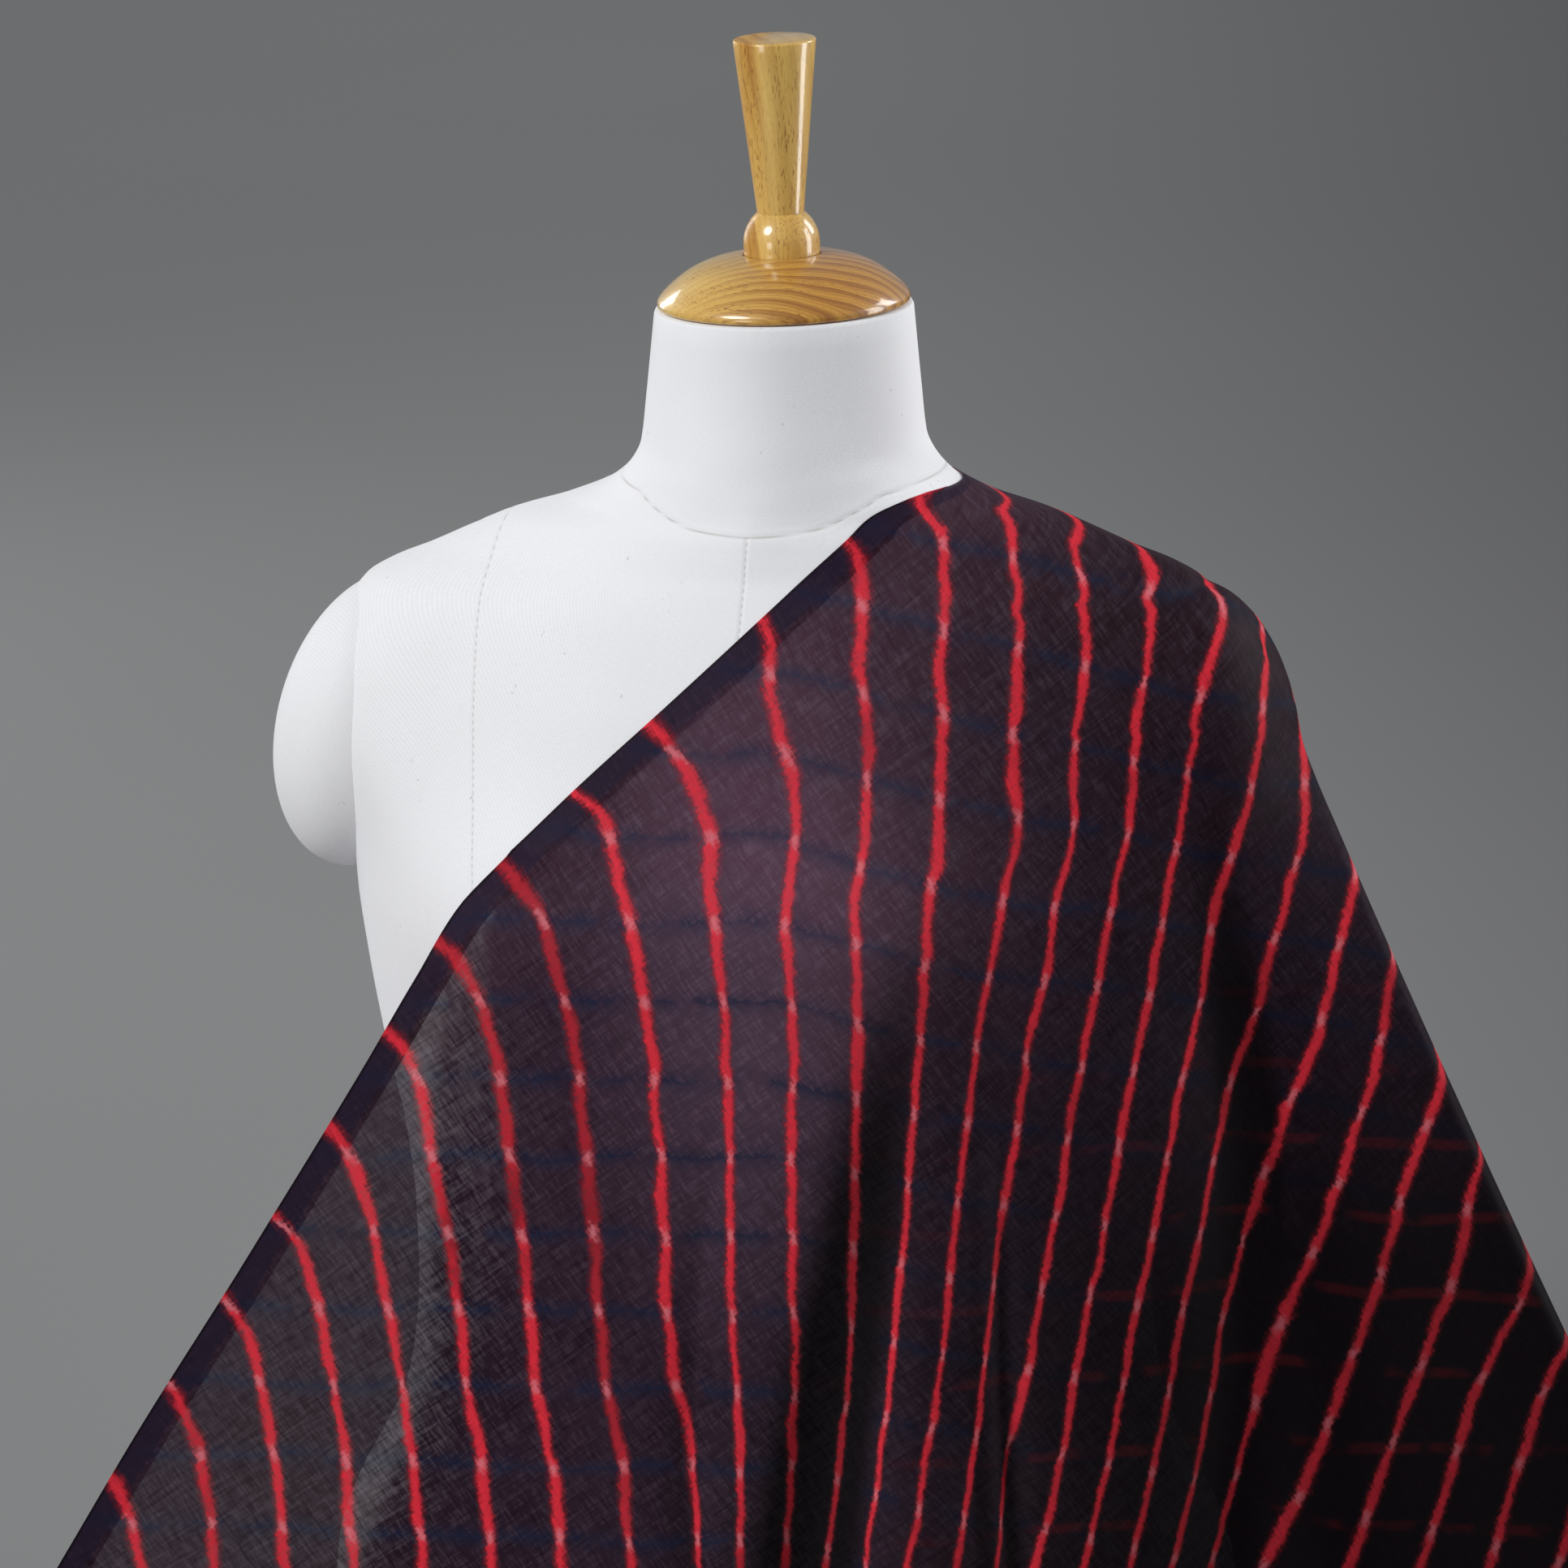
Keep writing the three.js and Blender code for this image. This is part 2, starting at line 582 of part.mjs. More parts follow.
function geometryOf(made) {
  const mesh = made.getMesh();
  return new THREE.BufferGeometry()
    .setAttribute("position", new THREE.BufferAttribute(new Float32Array(mesh.vertProperties), 3))
    .setIndex(new THREE.BufferAttribute(mesh.triVerts, 1));
}

const canvas = new THREE.MeshStandardMaterial({ color: 0xd8dadc, roughness: 0.9, metalness: 0 });
const sheerCloth = new THREE.MeshStandardMaterial({ color: 0x3a2b33, roughness: 0.7, metalness: 0 });
const varnishedWood = new THREE.MeshStandardMaterial({ color: 0xc99a4a, roughness: 0.25, metalness: 0 });

function named(name, geometry, material) {
  const mesh = new THREE.Mesh(geometry, material);
  mesh.name = name;
  return mesh;
}

const group = new THREE.Group();
group.add(named("torso", formGeometry(), canvas));
const formAndGap = solid(formGeometry(ARM_CAP_GAP));
for (const cap of ARM_CAPS) {
  group.add(named(cap.name, geometryOf(solid(armCapGeometry(cap)).subtract(formAndGap)), canvas.clone()));
}
group.add(named("cloth", clothGeometry(), sheerCloth));

const neckTop = new THREE.Group();
neckTop.position.z = NECK_TOP + PIECE_GAP;
neckTop.rotation.y = -Math.atan(SHOULDER_TILT);
neckTop.add(named("neck_cap", capGeometry(), varnishedWood));
neckTop.add(named("finial", finialGeometry(), varnishedWood.clone()));
group.add(neckTop);

export default group;
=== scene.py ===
"""A one-shoulder drape of sheer leheriya tie-dye cloth on a canvas dress form.

Metres, +Z up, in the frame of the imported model: the form's underside rests on z = 0 and the form faces -Y.
The drape is worked out in a plan frame of its own, turned about Z: x across it, y away from its front.
"""

import logging
import math
from dataclasses import dataclass, field
from enum import Enum
from typing import Any, Callable, Iterable, Mapping, Optional, Sequence, Union

import bmesh
import bpy
import numpy as np
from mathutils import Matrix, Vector


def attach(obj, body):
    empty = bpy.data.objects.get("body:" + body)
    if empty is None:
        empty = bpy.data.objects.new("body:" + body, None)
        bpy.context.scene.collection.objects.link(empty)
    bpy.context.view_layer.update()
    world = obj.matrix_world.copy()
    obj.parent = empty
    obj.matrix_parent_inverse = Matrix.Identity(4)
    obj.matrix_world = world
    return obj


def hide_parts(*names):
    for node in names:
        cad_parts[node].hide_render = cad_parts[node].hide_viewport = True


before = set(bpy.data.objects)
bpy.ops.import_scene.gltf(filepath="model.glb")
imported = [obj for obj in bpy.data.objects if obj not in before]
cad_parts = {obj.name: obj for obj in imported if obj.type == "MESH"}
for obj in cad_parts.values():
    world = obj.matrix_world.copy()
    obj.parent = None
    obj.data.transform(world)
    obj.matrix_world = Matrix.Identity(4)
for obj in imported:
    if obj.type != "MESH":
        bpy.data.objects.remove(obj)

LOG = logging.getLogger("drape")
MM = 0.001
FRONT_TURN = math.radians(14)  # how far the drape's front, and the camera with it, is turned from the form's
STRIPE_PITCH = 32 * MM
Triple = tuple[float, float, float]
Rows = Sequence[tuple[float, ...]]
Values = Union[float, np.ndarray]
Piece = bpy.types.Object
Columns = tuple[np.ndarray, np.ndarray, np.ndarray, np.ndarray]


# ---- curves ----


def ease(t: Values) -> Values:
    """Smooth step from 0 to 1, level at both ends."""
    t = np.clip(t, 0.0, 1.0)
    return t * t * (3.0 - 2.0 * t)


def blend(a: float, b: float, t: Values) -> Values:
    """A value t of the way from a to b."""
    return a + (b - a) * t


class Curve:
    """A smooth curve through rows that never overshoots them (a monotone cubic)."""

    def __init__(self, xs: Sequence[float], ys: Sequence[float]) -> None:
        """Works out the curve's slope at each row.

        Args:
            xs: Rising positions.
            ys: The values there.
        """
        self.x = np.asarray(xs, float)
        self.y = np.asarray(ys, float)
        slope = np.diff(self.y) / np.diff(self.x)
        before, after = slope[:-1], slope[1:]
        turning = before * after <= 0
        inner = np.where(turning, 0.0, 2 * before * after / np.where(turning, 1.0, before + after))
        self.tangent = np.concatenate([slope[:1], inner, slope[-1:]])

    def __call__(self, at: Values) -> Values:
        """The curve's value at a position, held level past its ends."""
        t = np.clip(at, self.x[0], self.x[-1])
        i = np.clip(np.searchsorted(self.x, t, side="right") - 1, 0, len(self.x) - 2)
        span = self.x[i + 1] - self.x[i]
        u = (t - self.x[i]) / span
        return (
            self.y[i] * (1 + 2 * u) * (1 - u) ** 2
            + self.tangent[i] * span * u * (1 - u) ** 2
            + self.y[i + 1] * u * u * (3 - 2 * u)
            + self.tangent[i + 1] * span * u * u * (u - 1)
        )


def columns_of(rows: Rows) -> list[Curve]:
    """Curves for every column of a table against its first column."""
    table = np.asarray(rows, float)
    return [Curve(table[:, 0], table[:, k]) for k in range(1, table.shape[1])]


def run_lengths(line: np.ndarray) -> np.ndarray:
    """Distance along a line of points, from its first point to each."""
    return np.concatenate([[0.0], np.cumsum(np.linalg.norm(np.diff(line, axis=0), axis=1))])


def points_along(line: np.ndarray, run: np.ndarray, at: np.ndarray) -> np.ndarray:
    """A line's points at distances along it, from the distance of each of its own."""
    return np.stack([np.interp(at, run, line[:, k]) for k in (0, 1)], axis=1)


def unit(way: np.ndarray) -> np.ndarray:
    """Directions brought to a length of 1."""
    return way / np.maximum(np.linalg.norm(way, axis=1, keepdims=True), 1e-9)


def outward(way: np.ndarray) -> np.ndarray:
    """Directions turned a quarter clockwise, which is outwards along a counter-clockwise outline."""
    return np.stack([way[:, 1], -way[:, 0]], axis=1)


def rotated(points: np.ndarray, angle: float) -> np.ndarray:
    """Points of a plan turned counter-clockwise about its origin."""
    c, s = math.cos(angle), math.sin(angle)
    return points @ np.array([[c, s], [-s, c]])


def reach_round(line: np.ndarray) -> tuple[np.ndarray, np.ndarray]:
    """An outline's angles round the origin, rising, and how far out it reaches at each."""
    angle = np.arctan2(line[:, 1], line[:, 0])
    order = np.argsort(angle)
    return angle[order], np.linalg.norm(line, axis=1)[order]


def taut(points: np.ndarray) -> np.ndarray:
    """The convex outline round points, counter-clockwise, as a taut cloth lies round them."""
    ordered = sorted(set(map(tuple, np.round(points, 7))))

    def half(way: Iterable[tuple[float, float]]) -> list[tuple[float, float]]:
        """One side of the outline, from one end to the other."""
        out: list[tuple[float, float]] = []
        for p in way:
            while len(out) > 1:
                (ax, ay), (bx, by) = out[-2], out[-1]
                if (bx - ax) * (p[1] - ay) - (by - ay) * (p[0] - ax) > 0:
                    break
                out.pop()
            out.append(p)
        return out

    return np.array(half(ordered)[:-1] + half(reversed(ordered))[:-1])


# ---- working on meshes ----


def pick_nothing() -> None:
    """Leaves edit mode and deselects every object."""
    if bpy.context.object is not None and bpy.context.object.mode != "OBJECT":
        bpy.ops.object.mode_set(mode="OBJECT")
    bpy.ops.object.select_all(action="DESELECT")


def pick(piece: Piece) -> None:
    """Selects one object alone and makes it active."""
    pick_nothing()
    piece.select_set(True)
    bpy.context.view_layer.objects.active = piece


def edit(piece: Piece, mode: str = "VERT", selected: bool = True) -> None:
    """Opens an object in edit mode.

    Args:
        piece: The object.
        mode: What is selected there: VERT, EDGE or FACE.
        selected: Whether all of it starts selected, or none.
    """
    pick(piece)
    bpy.ops.object.mode_set(mode="EDIT")
    bpy.ops.mesh.select_mode(type=mode)
    bpy.ops.mesh.select_all(action="SELECT" if selected else "DESELECT")


def choose_edges(piece: Piece, wanted: Callable[[Vector], bool]) -> None:
    """Selects a piece's edges by where their middle is.

    Args:
        piece: The object, in edit mode.
        wanted: Whether an edge whose middle is there is selected.
    """
    mesh = bmesh.from_edit_mesh(piece.data)
    for edge in mesh.edges:
        if wanted((edge.verts[0].co + edge.verts[1].co) / 2):
            edge.select_set(True)
    mesh.select_flush(True)
    bmesh.update_edit_mesh(piece.data)


def finish_edit() -> None:
    """Turns the faces outwards and leaves edit mode."""
    bpy.ops.mesh.select_all(action="SELECT")
    bpy.ops.mesh.normals_make_consistent(inside=False)
    bpy.ops.object.mode_set(mode="OBJECT")


def apply_modifier(piece: Piece, kind: str, **settings: Any) -> None:
    """Adds a modifier with its settings and applies it."""
    pick(piece)
    modifier = piece.modifiers.new(kind.lower(), kind)
    for name, value in settings.items():
        setattr(modifier, name, value)
    bpy.ops.object.modifier_apply(modifier=modifier.name)


def smooth(piece: Piece, angle: float = 40.0) -> None:
    """Shades a piece smooth, apart from edges sharper than an angle in degrees."""
    pick(piece)
    bpy.ops.object.shade_smooth_by_angle(angle=math.radians(angle))


def store(piece: Piece, name: str, values: Sequence[np.ndarray]) -> None:
    """Stores a number on each vertex of a piece."""
    attribute = piece.data.attributes.new(name, "FLOAT", "POINT")
    attribute.data.foreach_set("value", np.ravel(values).astype(np.float32))


def disc(name: str, sides: int, radius: float, height: float = 0.0) -> Piece:
    """A level disc round the Z axis at a height, open in edit mode with its face selected."""
    pick_nothing()
    place = (0, 0, height)
    bpy.ops.mesh.primitive_circle_add(vertices=sides, radius=radius, fill_type="NGON", location=place)
    piece = bpy.context.object
    piece.name = piece.data.name = name
    bpy.ops.object.transform_apply(location=True, rotation=False, scale=False)
    edit(piece, "FACE")
    return piece


def extrude(move: Sequence[float], size: Sequence[float], about: Sequence[float]) -> None:
    """Extrudes the selected face by a move, and scales it there about a point."""
    bpy.ops.mesh.extrude_region_move(TRANSFORM_OT_translate={"value": move})
    bpy.ops.transform.resize(value=size, center_override=about)


def copy_of_node(node: str, name: str) -> Piece:
    """A separate copy of a CAD node with its loose triangles merged into quads.

    Args:
        node: The node's name.
        name: The copy's name.

    Returns:
        The copy, at the origin, with no parent and no material.
    """
    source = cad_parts[node]
    piece = bpy.data.objects.new(name, source.data.copy())
    piece.data.name = name
    bpy.context.scene.collection.objects.link(piece)
    piece.data.materials.clear()
    edit(piece)
    bpy.ops.mesh.remove_doubles(threshold=0.02 * MM)
    bpy.ops.mesh.tris_convert_to_quads(face_threshold=math.radians(60), shape_threshold=math.radians(80))
    finish_edit()
    return piece


def turn(name: str, profile: Rows, sides: int) -> Piece:
    """A turned piece: a disc extruded up and down its profile, each ring scaled to its radius.

    Args:
        name: The piece's name.
        profile: Rows of (radius, height), from the underside's rim round to the top.
        sides: Sides of each ring.

    Returns:
        The closed piece, upright on the origin.
    """
    piece = disc(name, sides, *profile[0])
    for (radius, height), (next_radius, next_height) in zip(profile, profile[1:]):
        share = next_radius / radius
        extrude((0, 0, next_height - height), (share, share, 1), (0, 0, next_height))
    finish_edit()
    return piece


def tilt(piece: Piece, angle: float, about: Vector) -> None:
    """Moves an upright piece up to a point and tilts it there about Y, in its mesh."""
    edit(piece)
    bpy.ops.transform.translate(value=about)
    bpy.ops.transform.rotate(value=angle, orient_axis="Y", center_override=about)
    bpy.ops.object.mode_set(mode="OBJECT")


def settle(piece: Piece, node: str, material: bpy.types.Material) -> None:
    """Gives a finished piece its material, body, slot and the CAD node that it stands for."""
    piece.data.materials.clear()
    piece.data.materials.append(material)
    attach(piece, "root")
    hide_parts(node)
    LOG.info("%s: %d faces, standing for %s", piece.name, len(piece.data.polygons), node)


# ---- shader wiring ----


class Signal:
    """A shader socket with arithmetic: an expression on signals adds the Math nodes for it."""

    def __init__(self, shader: "Shader", socket: bpy.types.NodeSocket) -> None:
        """Wraps one output socket of a shader's node."""
        self.shader = shader
        self.socket = socket

    def math(self, operation: str, *others: "Number") -> "Signal":
        """A Math node on this signal and others."""
        return self.shader.node("ShaderNodeMath", {"operation": operation}, dict(enumerate((self, *others))))

    def __add__(self, other: "Number") -> "Signal":
        """Sum."""
        return self.math("ADD", other)

    __radd__ = __add__

    def __sub__(self, other: "Number") -> "Signal":
        """Difference."""
        return self.math("SUBTRACT", other)

    def __rsub__(self, other: "Number") -> "Signal":
        """Difference the other way round."""
        return self.shader.node("ShaderNodeMath", {"operation": "SUBTRACT"}, {0: other, 1: self})

    def __mul__(self, other: "Number") -> "Signal":
        """Product."""
        return self.math("MULTIPLY", other)

    __rmul__ = __mul__

    def __truediv__(self, other: "Number") -> "Signal":
        """Quotient."""
        return self.math("DIVIDE", other)

    def __abs__(self) -> "Signal":
        """Size without sign."""
        return self.math("ABSOLUTE")

    def wave(self, pitch: float) -> "Signal":
        """A sine wave, -1 to 1, that repeats at a pitch."""
        return (self * (2 * math.pi / pitch)).math("SINE")

    def highest(self, other: "Number") -> "Signal":
        """The larger of this and another."""
        return self.math("MAXIMUM", other)

    def lowest(self, other: "Number") -> "Signal":
        """The smaller of this and another."""
        return self.math("MINIMUM", other)

    def from_nearest_whole(self) -> "Signal":
        """Distance from the nearest whole number, 0 to 0.5."""
        return abs((self + 0.5).math("FRACT") - 0.5)

    def step(self, low: "Number", high: "Number") -> "Signal":
        """A soft step: 0 at low, 1 at high. low may be the larger."""
        return self.shader.node(
            "ShaderNodeMapRange",
            {"interpolation_type": "SMOOTHSTEP"},
            {"Value": self, "From Min": low, "From Max": high, "To Min": 0.0, "To Max": 1.0},
            "Result",
        )

    def finished(self) -> bpy.types.Material:
        """The shader's material, with this for its surface."""
        output = self.shader.tree.nodes.new("ShaderNodeOutputMaterial")
        self.shader.tree.links.new(self.socket, output.inputs["Surface"])
        return self.shader.material


Number = Union[float, int, Signal]
Colour = Union[Triple, Signal]


class Shader:
    """A material's node tree, with one method that adds any node."""

    def __init__(self, name: str) -> None:
        """Makes an empty material."""
        self.material = bpy.data.materials.new(name)
        self.material.use_nodes = True
        self.tree = self.material.node_tree
        self.tree.nodes.clear()

    def node(
        self,
        kind: str,
        settings: Optional[Mapping[str, Any]] = None,
        inputs: Optional[Mapping[Union[str, int], Any]] = None,
        output: Union[str, int] = 0,
    ) -> Signal:
        """Adds a node.

        Args:
            kind: The node's type.
            settings: Its settings, which are set first.
            inputs: Values or signals for its sockets, by name or number.
            output: The output that is wanted, by name or number.

        Returns:
            That output.
        """
        made = self.tree.nodes.new(kind)
        for name, value in (settings or {}).items():
            setattr(made, name, value)
        for name, value in (inputs or {}).items():
            socket = made.inputs[name]
            if isinstance(value, Signal):
                self.tree.links.new(value.socket, socket)
            elif socket.type == "RGBA" and len(value) == 3:
                socket.default_value = (*value, 1.0)
            else:
                socket.default_value = value
        return Signal(self, made.outputs[output])

    def place(self) -> Signal:
        """The point on the object, in its own coordinates."""
        return self.node("ShaderNodeTexCoord", output="Object")

    def uv(self, name: str) -> Signal:
        """A UV map, as a vector."""
        return self.node("ShaderNodeUVMap", {"uv_map": name})

    def attribute(self, name: str) -> Signal:
        """A number stored on the mesh."""
        return self.node("ShaderNodeAttribute", {"attribute_name": name}, output="Fac")

    def parts(self, vector: Signal) -> list[Signal]:
        """A vector's three numbers."""
        split = self.node("ShaderNodeSeparateXYZ", inputs={"Vector": vector})
        return [Signal(self, socket) for socket in split.socket.node.outputs]

    def joined(self, x: Number, y: Number, z: Number) -> Signal:
        """A vector from three numbers."""
        return self.node("ShaderNodeCombineXYZ", inputs={0: x, 1: y, 2: z})

    def vector(self, operation: str, *values: Union[Signal, Triple]) -> Signal:
        """A Vector Math node on vectors."""
        output = "Value" if operation == "LENGTH" else "Vector"
        return self.node("ShaderNodeVectorMath", {"operation": operation}, dict(enumerate(values)), output)

    def scaled(self, vector: Signal, by: Triple) -> Signal:
        """A vector scaled along each axis."""
        return self.vector("MULTIPLY", vector, by)

    def noise(self, vector: Signal, scale: float = 1.0, detail: float = 1.0) -> Signal:
        """Smooth noise, about 0.3 to 0.7."""
        return self.node("ShaderNodeTexNoise", inputs={"Vector": vector, "Scale": scale, "Detail": detail})

    def mix(self, share: Number, a: Colour, b: Colour) -> Signal:
        """A colour between a and b."""
        return self.node("ShaderNodeMix", {"data_type": "RGBA"}, {0: share, 6: a, 7: b}, 2)

    def bump(self, height: Signal, depth: float, strength: float) -> Signal:
        """A normal from a height of 0 to 1 and its real depth in metres."""
        return self.node("ShaderNodeBump", inputs={"Strength": strength, "Distance": depth, "Height": height})

    def surface(self, inputs: Mapping[str, Any]) -> Signal:
        """A Principled surface."""
        return self.node("ShaderNodeBsdfPrincipled", inputs=inputs)


# ---- finishes ----


@dataclass(frozen=True)
class Canvas:
    """White cotton canvas, woven in a fine twill, with stitched seams."""

    colour: Triple = (0.885, 0.89, 0.92)
    shade: Triple = (0.70, 0.69, 0.67)
    hollow: Triple = (0.52, 0.52, 0.54)
    thread: Triple = (0.34, 0.31, 0.29)
    slubs_per_metre: Triple = (220.0, 2400.0, 1.0)
    twill_pitch: float = 2.0 * MM
    yarn_pitch: float = 1.45 * MM
    weave_depth: float = 0.07 * MM
    seam_half: float = 0.45 * MM
    seam_dip: float = 1.8 * MM
    seam_depth: float = 0.35 * MM
    stitch_pitch: float = 3.2 * MM
    seam_clear: float = 0.05

    def material(self, name: str, seams: Sequence[str] = ()) -> bpy.types.Material:
        """The canvas, with seams along the zero lines of the mesh's named distances.

        Args:
            name: The material's name.
            seams: Attributes that hold the signed distance to a seam, in metres.

        Returns:
            The material.
        """
        shader = Shader(name)
        place = shader.place()
        across, up, _ = shader.parts(shader.uv("cover"))
        weave = (across + up).wave(self.twill_pitch) * 0.34 + up.wave(self.yarn_pitch) * 0.05 + 0.5
        slub = shader.noise(shader.scaled(shader.joined(across, up, 0.0), self.slubs_per_metre))
        cloud = shader.noise(place, 7.0, 3.0)
        fleck = shader.noise(place, 330.0).step(0.735, 0.78) * shader.noise(place, 33.0, 2.0).step(0.52, 0.60)
        tone = shader.mix(cloud.step(0.35, 0.75) * 0.28, self.colour, self.shade)
        tone = shader.mix((1 - weave) * 0.20 + (0.5 - slub) * 0.25 + 0.12, tone, self.hollow)
        tone = shader.mix(fleck * 0.35, tone, self.thread)
        height: Signal = weave * (self.weave_depth / self.seam_depth) + slub * 0.05 + 1.0
        for seam in seams:
            near = abs(shader.attribute(seam))
            if seam != "neck_line":
                near = near + shader.attribute("neck_line").step(0.0, MM) * self.seam_clear
            dash = up.wave(self.stitch_pitch) * 0.5 + 0.5
            line = near.step(self.seam_half * 1.4, self.seam_half * 0.3)
            dip = near.step(self.seam_dip, 0.0)
            tone = shader.mix(line * (dash * 0.42 + 0.05), tone, self.thread)
            # painted shade in the seam's groove
            tone = shader.mix(dip * 0.08, tone, self.shade)
            height = height - dip
        normal = shader.bump(height, self.seam_depth, 0.6)
        sheen = {"Sheen Weight": 0.15, "Sheen Roughness": 0.5}
        return shader.surface({"Base Color": tone, "Roughness": 0.88, "Normal": normal, **sheen}).finished()


class Grain(Enum):
    """How a turned piece was cut from its plank: upright, or lying with its growth bands fanned out."""

    UPRIGHT = "upright"
    FANNED = "fanned"


@dataclass(frozen=True)
class Wood:
    """Golden varnished wood with uneven growth bands and short dark pores along the grain."""

    pale: Triple = (0.80, 0.545, 0.150)
    warm: Triple = (0.53, 0.250, 0.034)
    grain: Triple = (0.30, 0.115, 0.018)
    pore: Triple = (0.26, 0.085, 0.012)
    heart: tuple[float, float] = (0.052, 0.036)
    heart_lean: float = 0.16
    fan: Triple = (-0.105, -0.050, 0.30)
    fan_bands: float = 18.0
    ring_pitch: float = 9.0 * MM
    fine_bands: float = 3.7
    roughness: float = 0.36
    pore_depth: float = 0.06 * MM

    def material(self, name: str, grain: Grain, middle: Vector) -> bpy.types.Material:
        """The wood of one turned piece.

        Args:
            name: The material's name.
            grain: How the piece was cut.
            middle: A point in the piece, which the growth bands are placed from.

        Returns:
            The material.
        """
        shader = Shader(name)
        centred = {"Vector": shader.place(), "Location": tuple(-middle)}
        x, y, z = shader.parts(shader.node("ShaderNodeMapping", {"vector_type": "POINT"}, centred))
        upright = grain is Grain.UPRIGHT
        first, second, along = (x, y, z) if upright else (y, z, x)

        def streaks(across: float, lengthwise: float, detail: float = 1.0) -> Signal:
            """Noise drawn out along the grain, in waves to a metre across it and lengthwise."""
            grained = shader.joined(first * across, second * across, along * lengthwise)
            return shader.noise(grained, 1.0, detail)

        sway = streaks(30.0, 9.0, 2.0) - 0.5
        if upright:
            a, b = first + self.heart[0] + along * self.heart_lean, second + self.heart[1]
            bands = ((a * a + b * b).math("SQRT") + sway * 0.010) / self.ring_pitch
            strong = x.step(-0.002, -0.014) * 0.45 + 0.22
            gloss = x.step(-0.014, -0.004) * 0.95 + 0.05
        else:
            aside, back, steep = self.fan
            bands = (y - back + z * steep).math("ARCTAN2", x - aside) * self.fan_bands + sway * 2.6
            strong = x.step(-0.046, 0.030) + 0.10
            gloss = 1.0
        band = bands.math("FRACT")
        late = band.step(0.25, 0.86) * band.step(1.0, 0.92)
        fine = (bands * self.fine_bands + sway * 2.0).math("FRACT")
        lines = fine.step(0.35, 0.85) * fine.step(1.0, 0.85) * 0.42
        patch = streaks(60.0, 14.0, 2.0).step(0.30, 0.70)
        pores = streaks(1700.0, 190.0).step(0.58, 0.66)
        spread = streaks(120.0, 12.0).step(0.40, 0.66)
        tone = shader.mix(patch * 0.45, self.pale, self.warm)
        tone = shader.mix(strong * 0.80, tone, self.warm)
        tone = shader.mix((late * 0.75 + lines) * strong, tone, self.grain)
        inputs = {
            "Base Color": shader.mix(pores * (spread * 0.55 + 0.20), tone, self.pore),
            "Roughness": patch * 0.05 + self.roughness,
            "Normal": shader.bump(1 - pores * 0.6, self.pore_depth, 0.3),
            "Coat Weight": gloss,
            "Coat Roughness": 0.11,
            "Specular IOR Level": 0.4,
        }
        return shader.surface(inputs).finished()


